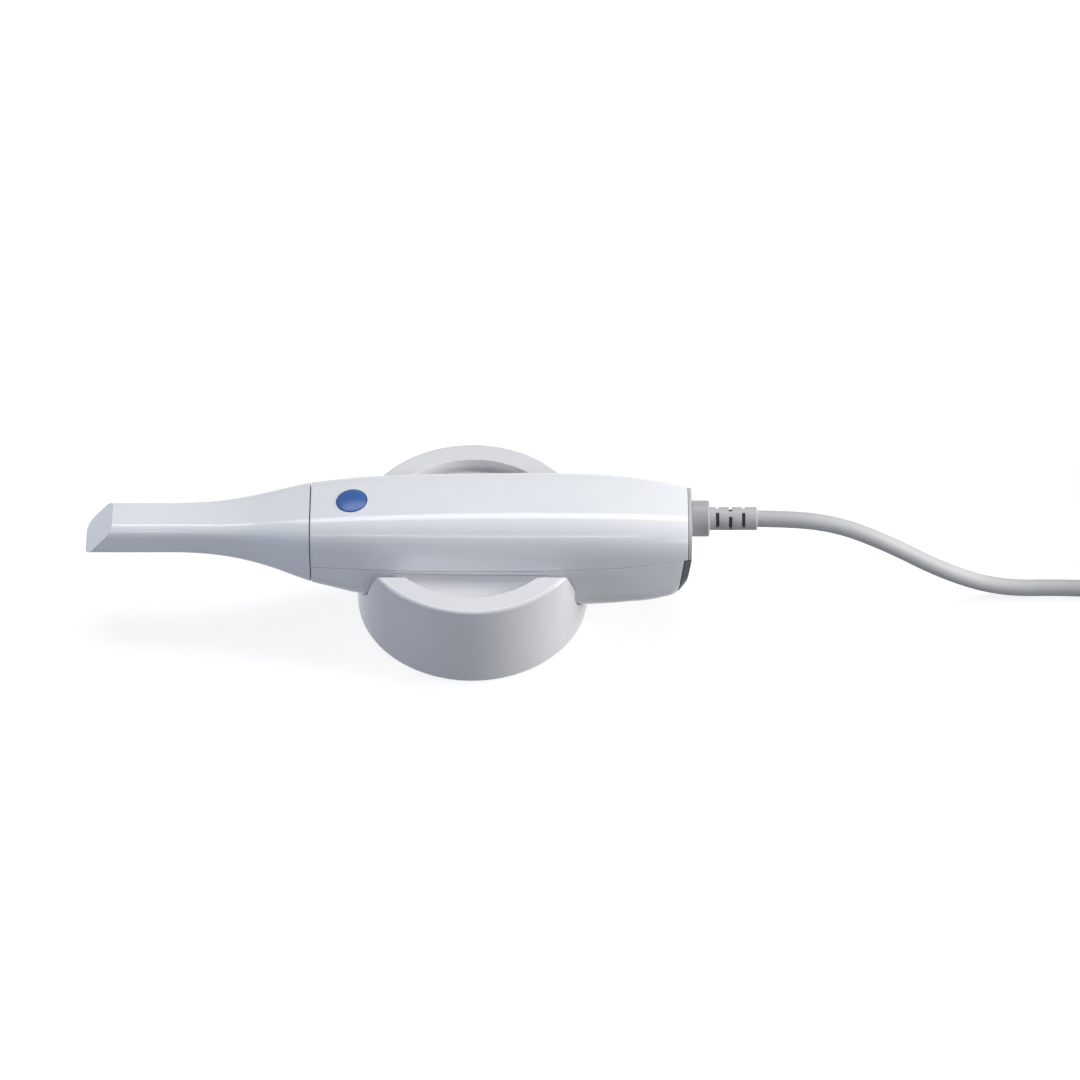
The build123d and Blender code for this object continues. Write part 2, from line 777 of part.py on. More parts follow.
# Cable entry: collar with a neck through the rear plate, its nut, and the slotted boot
neck_length = plate_thickness + plate_gap + plate_lip + nut_length
with BuildPart() as cable_collar:
    with BuildSketch(cord_plane):
        Circle(collar_radius)
    extrude(amount=collar_length)
    fillet(cable_collar.edges().sort_by(Axis.X)[-1], collar_round)
    with BuildSketch(cord_plane.offset(-neck_length)):
        Circle(neck_radius)
    extrude(amount=neck_length)
    with BuildSketch(cord_plane.offset(-neck_length)):
        Circle(lead_radius + cable_gap)
    extrude(amount=neck_length + collar_length / 2, mode=Mode.SUBTRACT)
finish(cable_collar, "cable_collar")

with BuildPart() as collar_nut:
    with BuildSketch(cord_plane.offset(-plate_thickness - nut_gap - nut_length)):
        RegularPolygon(nut_radius, 6)
        Circle(neck_radius + neck_gap, mode=Mode.SUBTRACT)
    extrude(amount=nut_length)
finish(collar_nut, "collar_nut")

with BuildPart() as strain_relief:
    with BuildSketch(cord_plane.offset(collar_length)):
        Circle(boot_radius)
    extrude(amount=boot_length)
    chamfer(strain_relief.edges().sort_by(Axis.X)[-1], boot_chamfer)
    with BuildSketch(cord_plane.offset(collar_length)):
        Circle(cable_radius + cable_gap)
    extrude(amount=boot_length, mode=Mode.SUBTRACT)
    for ring, turn in enumerate(boot_slot_turns):
        slot_start = collar_length + boot_slot_start + ring * boot_slot_pitch - boot_slot / 2
        with BuildSketch(cord_plane.offset(slot_start)):
            Circle(2 * boot_radius)
            with PolarLocations(boot_radius, len(boot_slot_turns), start_angle=turn):
                Rectangle(2 * boot_radius, boot_bridge, mode=Mode.SUBTRACT)
        extrude(amount=boot_slot, mode=Mode.SUBTRACT)
finish(strain_relief, "strain_relief")

# Lead from the collar to the socket on the main board
lead_points = [
    (rear_x - neck_length / 2, 0, cord_z),
    (rear_x - 2 * neck_length, 0, cord_z - lead_radius),
    (socket_x + socket_length, 0, board_top + socket_height / 2 + lead_radius),
    (socket_x + socket_length / 2, 0, board_top + socket_height / 2),
]


def route(points):
    """Straight runs joined by arcs that are as large as the runs allow, and the radii of the arcs."""
    corners = [Vector(*point) for point in points]
    radii = []
    for before, corner, after in zip(corners, corners[1:], corners[2:]):
        shorter = min((corner - before).length, (after - corner).length)
        half_turn = radians((corner - before).get_angle(after - corner) / 2)
        radii.append(arc_share * shorter / tan(half_turn))
    with BuildLine() as path:
        FilletPolyline(*corners, radius=radii)
    return path.wires()[0], radii


def tube(points, radius):
    """Round tube along a route; prints its arcs and how its volume compares with section times length."""
    path, radii = route(points)
    with BuildPart() as form:
        with BuildSketch(Plane(origin=path @ 0, z_dir=path % 0)):
            Circle(radius)
        sweep(path=path)
    share = form.part.volume / (pi * radius ** 2 * path.length)
    print("tube length", round(path.length, 1), "volume share", round(share, 4))
    print("radii", [round(value, 1) for value in radii])
    return form


board_lead = tube(lead_points, lead_radius)
finish(board_lead, "board_lead")

# Free cable: the run from the collar to the coil, the coil as one ring, and the tail to the plug
cable = tube(cable_points, cable_radius)
finish(cable, "cable")
cable_tail = tube(tail_points, cable_radius)
finish(cable_tail, "cable_tail")

with BuildPart() as cable_coil:
    with BuildSketch(Plane.XZ.offset(-coil_y)):
        with Locations((coil_x + coil_radius, coil_z + coil_height / 2)):
            RectangleRounded(coil_width, coil_height, coil_round)
    revolve(axis=Axis((coil_x, coil_y, 0), (0, 0, 1)))
finish(cable_coil, "cable_coil")

tie_out = tie_gap + tie_thickness
with BuildPart() as cable_tie:
    with BuildSketch(Plane.XZ.offset(tie_width / 2 - coil_y)):
        with Locations((coil_x - coil_radius, coil_z + coil_height / 2)):
            RectangleRounded(coil_width + 2 * tie_out, coil_height + 2 * tie_out, coil_round + tie_out)
            RectangleRounded(coil_width + 2 * tie_gap, coil_height + 2 * tie_gap, coil_round + tie_gap,
                             mode=Mode.SUBTRACT)
    extrude(amount=-tie_width)
finish(cable_tie, "cable_tie")

# Plug at the end of the tail: moulded body with a ribbed sleeve, metal shell with its holes, and tongue
tail_x, tail_y, tail_z = tail_points[-1]
plug_plane = Plane(origin=(tail_x, tail_y, tail_z), x_dir=(1, 0, 0), z_dir=(0, 1, 0))
plug_start = plug_sleeve_length - plug_sleeve_length / 3
with BuildPart() as plug_body:
    with BuildSketch(plug_plane.offset(plug_start)):
        RectangleRounded(plug_width, plug_height, plug_round)
    extrude(amount=plug_body_length)
    chamfer(plug_body.faces().sort_by(Axis.Y)[0].edges(), plug_round / 2)
    with BuildSketch(plug_plane.offset(plug_start - plug_sleeve_length)):
        Circle(plug_sleeve_radius)
    extrude(amount=plug_sleeve_length)
    with BuildSketch(plug_plane.offset(plug_start - plug_sleeve_length)):
        Circle(cable_radius + cable_gap)
    extrude(amount=plug_sleeve_length / 3, mode=Mode.SUBTRACT)
    for groove in range(1, plug_grooves + 1):
        with BuildSketch(plug_plane.offset(plug_start - groove * plug_groove_pitch)):
            Circle(2 * plug_sleeve_radius)
            Circle(plug_sleeve_radius - plug_groove_depth, mode=Mode.SUBTRACT)
        extrude(amount=plug_groove, mode=Mode.SUBTRACT)
finish(plug_body, "plug_body")

shell_start = plug_start + plug_body_length
with BuildPart() as plug_shell:
    with BuildSketch(plug_plane.offset(shell_start)):
        Rectangle(plug_shell_width, plug_shell_height)
        Rectangle(plug_shell_width - 2 * plug_shell_wall, plug_shell_height - 2 * plug_shell_wall,
                  mode=Mode.SUBTRACT)
    extrude(amount=plug_shell_length)
    with BuildSketch(Plane.XY.offset(tail_z - plug_shell_height)):
        with Locations((tail_x, tail_y + shell_start + plug_hole_setback)):
            with GridLocations(plug_hole_pitch, 1, 2, 1):
                Rectangle(plug_hole, plug_hole)
    extrude(amount=2 * plug_shell_height, mode=Mode.SUBTRACT)
finish(plug_shell, "plug_shell")

with BuildPart() as plug_tongue:
    with BuildSketch(plug_plane.offset(shell_start)):
        with Locations((0, plug_shell_height / 2 - plug_shell_wall - plug_tongue_height / 2)):
            Rectangle(plug_shell_width - 2 * plug_shell_wall, plug_tongue_height)
    extrude(amount=plug_shell_length - 2 * plug_shell_wall)
finish(plug_tongue, "plug_tongue")


def notch(grow=0.0):
    """Funnel cut through the ring wall at both ends of the trough, outside the recess."""
    slope = (notch_half_width_high - notch_half_width_low) / notch_depth
    with BuildPart() as cut:
        with BuildSketch(Plane.YZ.offset(-2 * cradle_radius)):
            with BuildLine():
                Polyline(
                    (-notch_half_width_low - grow, cradle_z_high - notch_depth - grow),
                    (notch_half_width_low + grow, cradle_z_high - notch_depth - grow),
                    (notch_half_width_high + grow + slope * notch_depth, cradle_z_high + notch_depth),
                    (-notch_half_width_high - grow - slope * notch_depth, cradle_z_high + notch_depth),
                    close=True,
                )
            make_face()
        extrude(amount=4 * cradle_radius)
        Cylinder(cradle_radius - rim_width - grow, 4 * cradle_z_high, mode=Mode.SUBTRACT)
    return cut.part


# Cradle: ring wall round a shallow recess, with the trough that the housing lies in
roof_z = cradle_z_high - recess_depth - cradle_wall
base_top = cradle_z_low + base_thickness
trough_end = cradle_radius + trough_overrun
trough_form = skin(housing_sections, rest_gap)
trough_under = skin(housing_sections, rest_gap + cradle_wall)
with BuildPart() as cradle_hollow:
    with BuildSketch():
        Circle(cradle_radius - cradle_wall)
    extrude(amount=roof_z)
    add(slab(trough_under, -cradle_radius, cradle_radius), mode=Mode.SUBTRACT)
    add(notch(cradle_wall), mode=Mode.SUBTRACT)
    with BuildSketch(Plane.XY.offset(base_top)):
        with PolarLocations(cradle_boss_circle, 4, start_angle=45):
            Circle(cradle_boss_radius)
    extrude(amount=roof_z, mode=Mode.SUBTRACT)

with BuildPart() as cradle:
    with BuildSketch(Plane.XZ) as cradle_profile:
        with Locations((0, cradle_z_low)):
            Rectangle(cradle_radius, cradle_z_high - cradle_z_low, align=(Align.MIN, Align.MIN))
        fillet(cradle_profile.vertices().group_by(Axis.Y)[-1].sort_by(Axis.X)[-1], rim_round)
    revolve(axis=Axis.Z)
    with BuildSketch(Plane.XY.offset(cradle_z_high - recess_depth)):
        Circle(cradle_radius - rim_width)
    extrude(amount=2 * recess_depth, mode=Mode.SUBTRACT)
    add(slab(trough_form, -trough_end, trough_end), mode=Mode.SUBTRACT)
    add(notch(), mode=Mode.SUBTRACT)
    add(cradle_hollow.part, mode=Mode.SUBTRACT)
    with BuildSketch(Plane.XY.offset(base_top)):
        with PolarLocations(cradle_boss_circle, 4, start_angle=45):
            Circle(cradle_screw_radius + screw_gap)
    extrude(amount=cradle_screw_length, mode=Mode.SUBTRACT)
finish(cradle, "cradle")

# Base plate, its screws and the pad that the cradle stands on
with BuildPart() as cradle_base:
    with BuildSketch(Plane.XY.offset(cradle_z_low)):
        Circle(cradle_radius - cradle_wall - base_gap)
    extrude(amount=base_thickness)
    with BuildSketch(Plane.XY.offset(cradle_z_low)):
        with PolarLocations(cradle_boss_circle, 4, start_angle=45):
            Circle(cradle_screw_head_radius + screw_gap)
    extrude(amount=cradle_screw_head, mode=Mode.SUBTRACT)
    with BuildSketch(Plane.XY.offset(cradle_z_low)):
        with PolarLocations(cradle_boss_circle, 4, start_angle=45):
            Circle(cradle_screw_radius + screw_gap)
    extrude(amount=base_thickness, mode=Mode.SUBTRACT)
finish(cradle_base, "cradle_base")

with BuildPart() as cradle_screws:
    with BuildSketch(Plane.XY.offset(cradle_z_low)):
        with PolarLocations(cradle_boss_circle, 4, start_angle=45):
            Circle(cradle_screw_head_radius)
    extrude(amount=cradle_screw_head)
    with BuildSketch(Plane.XY.offset(cradle_z_low + cradle_screw_head)):
        with PolarLocations(cradle_boss_circle, 4, start_angle=45):
            Circle(cradle_screw_radius)
    extrude(amount=cradle_screw_length)
finish(cradle_screws, "cradle_screws")

with BuildPart() as cradle_pad:
    with BuildSketch():
        Circle(cradle_radius - pad_inset)
    extrude(amount=cradle_z_low)
finish(cradle_pad, "cradle_pad")
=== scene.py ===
import json
import math

import bmesh
import bpy
import numpy
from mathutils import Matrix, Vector


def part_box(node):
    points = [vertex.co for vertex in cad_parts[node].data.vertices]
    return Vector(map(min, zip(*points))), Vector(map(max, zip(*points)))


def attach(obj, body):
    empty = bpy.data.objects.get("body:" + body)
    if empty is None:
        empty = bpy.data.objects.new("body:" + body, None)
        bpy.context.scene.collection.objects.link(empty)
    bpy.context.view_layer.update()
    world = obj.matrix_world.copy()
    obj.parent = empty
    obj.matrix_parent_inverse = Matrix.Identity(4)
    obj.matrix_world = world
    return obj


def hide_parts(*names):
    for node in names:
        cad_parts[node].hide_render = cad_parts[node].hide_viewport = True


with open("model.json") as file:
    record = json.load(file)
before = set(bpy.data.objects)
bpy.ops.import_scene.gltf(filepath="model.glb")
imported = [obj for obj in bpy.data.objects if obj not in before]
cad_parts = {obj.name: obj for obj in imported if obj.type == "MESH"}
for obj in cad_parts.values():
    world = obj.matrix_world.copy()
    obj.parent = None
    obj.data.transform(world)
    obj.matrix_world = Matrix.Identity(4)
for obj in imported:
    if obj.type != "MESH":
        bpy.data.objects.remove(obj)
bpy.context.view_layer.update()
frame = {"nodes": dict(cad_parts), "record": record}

# Sizes are in millimetres, as on the solids, and become metres where a piece is made
MM = 0.001

# Places read from the solids
seam_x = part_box("upper_shell")[0].x / MM
rear_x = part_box("rear_plate")[1].x / MM
collar_end_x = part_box("cable_collar")[1].x / MM
boot_end_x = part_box("strain_relief")[1].x / MM
cradle_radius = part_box("cradle")[1].x / MM
cradle_z_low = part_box("cradle")[0].z / MM
cradle_z_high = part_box("cradle")[1].z / MM

# Housing and the gaps between its shells
shell_wall = 2.0
parting_z_front = 37.8
parting_z_rear = 41.0
parting_gap = 0.3
plate_thickness = 1.3
plate_gap = 0.3
plate_hairline = 0.06
shell_rear_x = rear_x - plate_thickness - plate_gap
vent_x_low = 85.2
vent_x_high = 88.3
vent_z_low = 14.0
vent_wall = 2.0
vent_end_lean = 7.0
vent_end_round = 1.2
vent_slots = 5
vent_slot_pitch = 2.9
vent_slot_z = 26.6
vent_slot_width = 20.0
vent_slot_height = 1.5
vent_slot_corner = vent_slot_height / 2.1
boss_radius = 2.8
screw_radius = 1.35
screw_hole_radius = 2.3
screw_head_z = 16.2
screw_places = ((2.0, 15.6), (2.0, -15.6), (70.0, 13.6), (70.0, -13.6))
lip_thickness = 1.0
lip_height = 2.0
lip_root = 3.0
lip_gap = 0.15
plate_lip = 2.6
bench_post_places = ((-50.0, 8.0), (-50.0, -8.0), (-9.0, 8.0), (-9.0, -8.0))
bench_z = 31.0
board_post_places = ((12.5, 10.0), (12.5, -10.0), (61.5, 10.0), (61.5, -10.0))
board_z = 34.0
inner_post_radius = 3.0

# Tip and nose
tip_length = 94.1
tip_overrun = 1.0
straight_step = 10.0
tip_z_low = 35.0
tip_lean = 37.6
tip_wall = 1.4
seam_gap = 0.5
window_length = 14.0
window_width = 12.6
window_corner = 2.5
window_setback = 4.6
nose_length = 48.0
plug_length = 7.5
plug_inset = 2.2
nose_inset = 2.0
nose_wall = 1.6
seal_width = 2.0
seal_setback = 3.4
seal_inset = 1.7
seal_wall = 1.0
tip_x = seam_x - tip_length
nose_x = seam_x - nose_length
plug_x = seam_x + plug_length

# Button
button_from_seam = 17.1
button_z = 58.9
button_tilt = 4.8
button_radius = 6.25
button_gap = 0.3
button_edge = 0.2
button_dome = 0.7
button_skirt = 2.6
button_flange = 1.4
button_flange_thickness = 1.0
button_stem_radius = 2.0
button_stem_length = 1.6
button_post_radius = 1.8
button_post_half_pitch = 6.8
button_board_depth = 8.95
button_x = seam_x + button_from_seam

# Cable entry
cord_z = 48.2
collar_radius = 7.5
collar_round = 0.9
neck_radius = 4.6
neck_length = 7.2
lead_bore = 2.1
boot_radius = 4.8
boot_bore = 3.55
boot_slot = 1.4
boot_slot_pitch = 5.4
boot_slot_start = 3.3
boot_slot_half_span = 45.0
boot_slot_turns = (118, 140, 118)
boot_slot_reach_in = 0.4
boot_slot_reach_out = 1.0
# Dark sleeve in the boot: painted shade, so that the slots of the boot look dark
shade_sleeve_radius = 3.7
shade_sleeve_bore = 3.5
cable_radius = 3.5

# Cradle
rim_width = 9.3
rim_round = 1.4
rim_inner_round = 0.5
foot_round = 0.6
recess_depth = 5.4
recess_corner = 0.8
rest_gap = 0.3
trough_overrun = 2.0
notch_half_width_high = 28.3
notch_half_width_low = 20.4
notch_depth = 20.0
base_recess_radius = 45.3
base_recess_depth = 2.6

# How much edges are rounded
tip_edge = 0.35
nose_edge = 0.3
seal_edge = 0.4
shell_edge = 0.25
plate_edge = 0.35
vent_edge = 0.25
button_rim_round = 0.3
collar_root_round = 0.4
boot_edge = 0.22
boot_end_round = 0.6
# End rounding of the dark sleeve, which is painted shade in the boot
shade_sleeve_end_round = 0.04
cradle_edge = 0.4
tie_edge = 0.15
contact_edge = 0.05

# Solids that keep their form, and how much their edges are rounded
plug_edges = {
    "plug_body": 0.4,
    "plug_shell": 0.1,
    "plug_tongue": 0.15,
}
dressed_edges = {
    "tip_mirror": 0.1,
    "front_window": 0.1,
    "tip_latches": 0.1,
    "tact_switch": 0.15,
    "button_board": 0.1,
    "optical_bench": 0.3,
    "projector_lens": 0.25,
    "camera_lens": 0.25,
    "projector_engine": 0.3,
    "image_sensor": 0.15,
    "main_board": 0.1,
    "board_chips": 0.15,
    "board_screws": 0.15,
    "board_lead": 0.1,
    "heat_sink": 0.15,
    "fan_frame": 0.3,
    "fan_rotor": 0.15,
    "shell_screws": 0.15,
    "collar_nut": 0.2,
    "cradle_base": 0.4,
    "cradle_screws": 0.15,
    "cradle_pad": 0.3,
}

# Fineness of the meshes
ring_step = 3.0
rings_between_stations = 5
corner_steps = 12
round_steps = 6
turn_steps = 128
neck_hole_steps = 64
post_steps = 32
slot_steps = 24
merge_distance = 0.002
same_place = 0.01
same_way = 0.97

# Sections of the housing and the tip: x, half width, lowest z, highest z, corner radius
seam_station = (seam_x, 18.0, 22.8, 57.2, 10.0)
button_station = (button_x, 19.5, 17.7, button_z, 11.0)
housing_stations = [
    seam_station,
    tuple((front + back) / 2 for front, back in zip(seam_station, button_station)),
    button_station,
    (-20.0, 21.3, 12.6, 60.3, 13.0),
    (10.0, 22.0, 10.6, 60.8, 14.0),
    (38.0, 22.0, 10.6, 60.8, 14.0),
    (rear_x - 27.0, 20.8, 11.6, 59.6, 13.4),
    (rear_x - 13.0, 19.2, 12.8, 58.0, 12.8),
    (rear_x - 5.0, 17.9, 16.2, 56.7, 12.2),
    (rear_x, 16.8, 25.0, 55.8, 11.6),
]
tip_stations = [
    *((tip_x - tip_overrun + step * straight_step, 9.5, tip_z_low, 50.3, 4.5) for step in range(5)),
    (seam_x - 34.0, 11.0, 33.5, 51.3, 5.2),
    (seam_x - 25.8, 12.3, 31.9, 52.4, 6.0),
    (seam_x - 17.3, 14.0, 29.4, 54.0, 7.2),
    (seam_x - 9.1, 16.0, 26.4, 55.6, 8.6),
    seam_station,
]

# Route of the cable from the collar to the coil, and from the coil to the plug
cable_points = [
    (98.6, 0, 48.2),
    (126, 0, 48.4),
    (150, 0, 45.5),
    (172, 0, 34),
    (198, 0.4, 15),
    (222, 1.4, 3.8),
    (250, 2.2, 3.6),
    (274, 0, 3.6),
    (295, -4.5, 3.6),
]
tail_points = [
    (317.3, 2.3, 17.9),
    (330.5, 6, 18.4),
    (341.7, 14.5, 20.8),
    (348.9, 23.9, 23.8),
    (352.6, 34.8, 25.8),
    (353, 45, 26),
]
coil_centre = (316.0, 38.5)
coil_radius_in = 31.2
coil_radius_out = 45.6
coil_pitch = 7.2
coil_climb = 0.35
coil_turns = 6.0
coil_points_per_turn = 16
coil_z = 3.6
tie_turn = 0.75
tie_slack = 0.1
tie_thickness = 0.6
contact_count = 4
contact_width = 1.2
contact_height = 0.12


def mm(x, y, z):
    """A point given in millimetres."""
    return Vector((x, y, z)) * MM


# Hand tools


def start(name):
    """Open a new, empty piece in edit mode, with nothing else selected."""
    bpy.ops.object.select_all(action="DESELECT")
    bpy.ops.object.add(type="MESH", enter_editmode=True, location=(0, 0, 0))
    piece = bpy.context.object
    piece.name = name
    bpy.ops.mesh.select_mode(type="VERT")
    return piece


def close(piece):
    """Point the faces outwards and leave edit mode."""
    bpy.ops.mesh.select_all(action="SELECT")
    bpy.ops.mesh.remove_doubles(threshold=merge_distance * MM)
    bpy.ops.mesh.normals_make_consistent(inside=False)
    bpy.ops.object.mode_set(mode="OBJECT")
    return piece


def take(piece):
    """Select one piece alone and make it the active one."""
    bpy.ops.object.select_all(action="DESELECT")
    piece.select_set(True)
    bpy.context.view_layer.objects.active = piece


def pick(kind, test):
    """Select the vertices, edges or faces in edit mode that pass a test, and nothing else."""
    bpy.ops.mesh.select_mode(type=kind)
    bpy.ops.mesh.select_all(action="DESELECT")
    data = bpy.context.object.data
    mesh = bmesh.from_edit_mesh(data)
    for element in {"VERT": mesh.verts, "EDGE": mesh.edges, "FACE": mesh.faces}[kind]:
        if test(element):
            element.select_set(True)
    mesh.select_flush_mode()
    bmesh.update_edit_mesh(data)


def modify(piece, kind, **settings):
    """Add one modifier with its settings and apply it."""
    take(piece)
    modifier = piece.modifiers.new(kind, kind)
    for name, value in settings.items():
        setattr(modifier, name, value)
    bpy.ops.object.modifier_apply(modifier=modifier.name)


def wall(piece, thickness):
    """Give an open skin a wall on its inner side."""
    modify(piece, "SOLIDIFY", thickness=thickness * MM, offset=-1.0, use_even_offset=True)


def cut(piece, *cutters):
    """Cut shapes out of a piece and throw the cutters away."""
    for cutter in cutters:
        modify(piece, "BOOLEAN", operation="DIFFERENCE", solver="EXACT", object=cutter)
        bpy.data.objects.remove(cutter)


def within(piece, limit):
    """Keep only what lies inside a limit, which is thrown away."""
    modify(piece, "BOOLEAN", operation="INTERSECT", solver="EXACT", object=limit)
    bpy.data.objects.remove(limit)
    return piece


def together(pieces):
    """Join several pieces into the first one."""
    take(pieces[0])
    for piece in pieces[1:]:
        piece.select_set(True)
    bpy.ops.object.join()
    return pieces[0]


def slice_off(piece, point, normal, fill=False):
    """Cut a piece by a plane and drop what lies on the side that the normal points to."""
    take(piece)
    bpy.ops.object.mode_set(mode="EDIT")
    bpy.ops.mesh.select_all(action="SELECT")
    bpy.ops.mesh.bisect(plane_co=point, plane_no=normal, use_fill=fill, clear_outer=True)
    bpy.ops.object.mode_set(mode="OBJECT")


def round_edges(piece, width, sharp=40.0, segments=2):
    """Round the sharp edges of a piece a little."""
    modify(
        piece, "BEVEL", width=width * MM, segments=segments, limit_method="ANGLE",
        angle_limit=math.radians(sharp), use_clamp_overlap=True, miter_outer="MITER_ARC",
    )


def shade(piece, sharp=40.0):
    """Shade a piece smooth up to its sharp edges, and keep its flat faces flat."""
    take(piece)
    bpy.ops.object.shade_smooth_by_angle(angle=math.radians(sharp))
    modify(piece, "WEIGHTED_NORMAL", keep_sharp=True)


def soften(piece, width, sharp=40.0, segments=2):
    """Round the sharp edges of a piece a little and shade it smooth."""
    round_edges(piece, width, sharp, segments)
    shade(piece, sharp)


def section(stations, x):
    """Half width, lowest z, highest z and corner at x, on smooth curves through the stations."""
    columns = numpy.array(stations, float).T
    places = columns[0]
    i = int(numpy.clip(numpy.searchsorted(places, x) - 1, 0, len(places) - 2))
    span = places[i + 1] - places[i]
    s = (x - places[i]) / span
    values = []
    for column in columns[1:]:
        slope = numpy.gradient(column, places) * span
        first = (1 + 2 * s) * (1 - s) ** 2 * column[i] + s * (1 - s) ** 2 * slope[i]
        second = s * s * (3 - 2 * s) * column[i + 1] + s * s * (s - 1) * slope[i + 1]
        values.append(first + second)
    return values


def ring(x, half_width, z_low, z_high, corner, grow):
    """Add one rounded rectangle across the scanner to the mesh in edit mode."""
    centre = mm(x, 0, (z_low + z_high) / 2)
    size = (1, 2 * (half_width + grow), z_high - z_low + 2 * grow)
    bpy.ops.mesh.primitive_plane_add(size=MM, location=centre, rotation=(0, math.pi / 2, 0))
    bpy.ops.transform.resize(value=size, center_override=centre)
    bpy.ops.mesh.bevel(affect="VERTICES", offset=(corner + grow) * MM, segments=corner_steps)


def ring_places(stations, x_low, x_high):
    """Places of the rings between two values of x: at the stations, with even steps between them."""
    stops = [x_low, *(x for x, *_ in stations if x_low < x < x_high), x_high]
    places = [x_low]
    for before, after in zip(stops, stops[1:]):
        count = max(math.ceil((after - before) / ring_step), rings_between_stations)
        if after - before < ring_step / rings_between_stations:
            count = 1
        places.extend(numpy.linspace(before, after, count + 1)[1:])
    return places


def loft(name, stations, x_low, x_high, grow=0.0, open_at=()):
    """Skin through the sections between two values of x, left open at the ends that are named."""
    piece = start(name)
    for x in ring_places(stations, x_low, x_high):
        ring(x, *section(stations, x), grow)
    bpy.ops.mesh.select_all(action="SELECT")
    bpy.ops.mesh.delete(type="ONLY_FACE")
    bpy.ops.mesh.select_all(action="SELECT")
    bpy.ops.mesh.bridge_edge_loops()
    bpy.ops.mesh.select_all(action="SELECT")
    bpy.ops.mesh.fill_holes(sides=0)
    bpy.ops.mesh.select_all(action="SELECT")
    bpy.ops.mesh.normals_make_consistent(inside=False)
    for x in open_at:
        pick("FACE", lambda face: all(abs(v.co.x - x * MM) < same_place * MM for v in face.verts))
        bpy.ops.mesh.delete(type="ONLY_FACE")
    bpy.ops.object.mode_set(mode="OBJECT")
    return piece


def turned(name, outline, centre, axis, side, closed=False, sweep=360.0, steps=turn_steps):
    """Piece turned about an axis from an outline of (radius, height, rounding)."""
    piece = start(name)
    points = [centre + (side * point[0] + axis * point[1]) * MM for point in outline]
    bpy.ops.mesh.primitive_plane_add(size=MM, location=points[0])
    bpy.ops.mesh.merge(type="CENTER")
    for before, after in zip(points, points[1:]):
        bpy.ops.mesh.extrude_vertices_move(TRANSFORM_OT_translate={"value": after - before})
    if closed:
        ends = (points[0], points[-1])
        pick("VERT", lambda v: any((v.co - end).length < same_place * MM for end in ends))
        bpy.ops.mesh.edge_face_add()
    for place, point in zip(points, outline):
        if len(point) > 2:
            pick("VERT", lambda v: (v.co - place).length < same_place * MM)
            bpy.ops.mesh.bevel(affect="VERTICES", offset=point[2] * MM, segments=round_steps)
    bpy.ops.mesh.select_all(action="SELECT")
    bpy.ops.mesh.spin(steps=steps, angle=math.radians(sweep), center=centre, axis=axis)
    if sweep < 360:
        bpy.ops.mesh.select_all(action="SELECT")
        bpy.ops.mesh.fill_holes(sides=0)
    return close(piece)


def prism(name, centre, across, corner, along):
    """Rounded rectangle across two axes, with its corners rounded, drawn out along a vector."""
    piece = start(name)
    rotation = (0, 0, 0)
    if across[0] == 0:
        rotation = (0, math.pi / 2, 0)
    elif across[1] == 0:
        rotation = (math.pi / 2, 0, 0)
    bpy.ops.mesh.primitive_plane_add(size=MM, location=centre, rotation=rotation)
    bpy.ops.transform.resize(value=[size or 1 for size in across], center_override=centre)
    bpy.ops.mesh.bevel(affect="VERTICES", offset=corner * MM, segments=round_steps)
    bpy.ops.mesh.select_all(action="SELECT")
    bpy.ops.mesh.extrude_region_move(TRANSFORM_OT_translate={"value": along})
    return close(piece)


# Shader groups that several finishes share


def group(name):
    """A new shader node group that makes a height, a gloss and a tone from two scales."""
    tree = bpy.data.node_groups.new(name, "ShaderNodeTree")
    for label in ("Grain", "Drift"):
        tree.interface.new_socket(label, in_out="INPUT", socket_type="NodeSocketFloat")
    for label in ("Height", "Gloss", "Tone"):
        tree.interface.new_socket(label, in_out="OUTPUT", socket_type="NodeSocketFloat")
    return tree, tree.nodes.new("NodeGroupInput"), tree.nodes.new("NodeGroupOutput")


def add_node(tree, kind, **values):
    """A new node, with properties by name and input sockets by their label with spaces as __."""
    node = tree.nodes.new(kind)
    for name, value in values.items():
        if hasattr(node, name):
            setattr(node, name, value)
        else:
            node.inputs[name.replace("__", " ")].default_value = value
    return node


def make_grain():
    """Fine moulded grain: a height for bump, and slow drifts for gloss and tone."""
    tree, given, out = group("moulded_grain")
    place = add_node(tree, "ShaderNodeTexCoord")
    fine = add_node(tree, "ShaderNodeTexNoise", Detail=3.0, Roughness=0.55)
    slow = add_node(tree, "ShaderNodeTexNoise", Detail=4.0, Roughness=0.6)
    smudge = add_node(tree, "ShaderNodeTexNoise", Detail=5.0, Roughness=0.65, Scale=170.0)
    link = tree.links.new
    for noise in (fine, slow, smudge):
        link(place.outputs["Object"], noise.inputs["Vector"])
    link(given.outputs["Grain"], fine.inputs["Scale"])
    link(given.outputs["Drift"], slow.inputs["Scale"])
    link(fine.outputs["Fac"], out.inputs["Height"])
    link(smudge.outputs["Fac"], out.inputs["Gloss"])
    link(slow.outputs["Fac"], out.inputs["Tone"])
    return tree


def make_streaks():
    """Fine streaks along the scanner, as brushing or drawing leaves them on metal."""
    tree, given, out = group("brushed_streaks")
    place = add_node(tree, "ShaderNodeTexCoord")
    stretch = add_node(tree, "ShaderNodeMapping", Scale=(0.03, 1, 1))
    streak = add_node(tree, "ShaderNodeTexNoise", Detail=4.0, Roughness=0.7)
    slow = add_node(tree, "ShaderNodeTexNoise", Detail=3.0, Roughness=0.5)
    link = tree.links.new
    link(place.outputs["Object"], stretch.inputs["Vector"])
    link(stretch.outputs["Vector"], streak.inputs["Vector"])
    link(place.outputs["Object"], slow.inputs["Vector"])
    link(given.outputs["Grain"], streak.inputs["Scale"])
    link(given.outputs["Drift"], slow.inputs["Scale"])
    link(streak.outputs["Fac"], out.inputs["Height"])
    link(streak.outputs["Fac"], out.inputs["Gloss"])
    link(slow.outputs["Fac"], out.inputs["Tone"])
    return tree


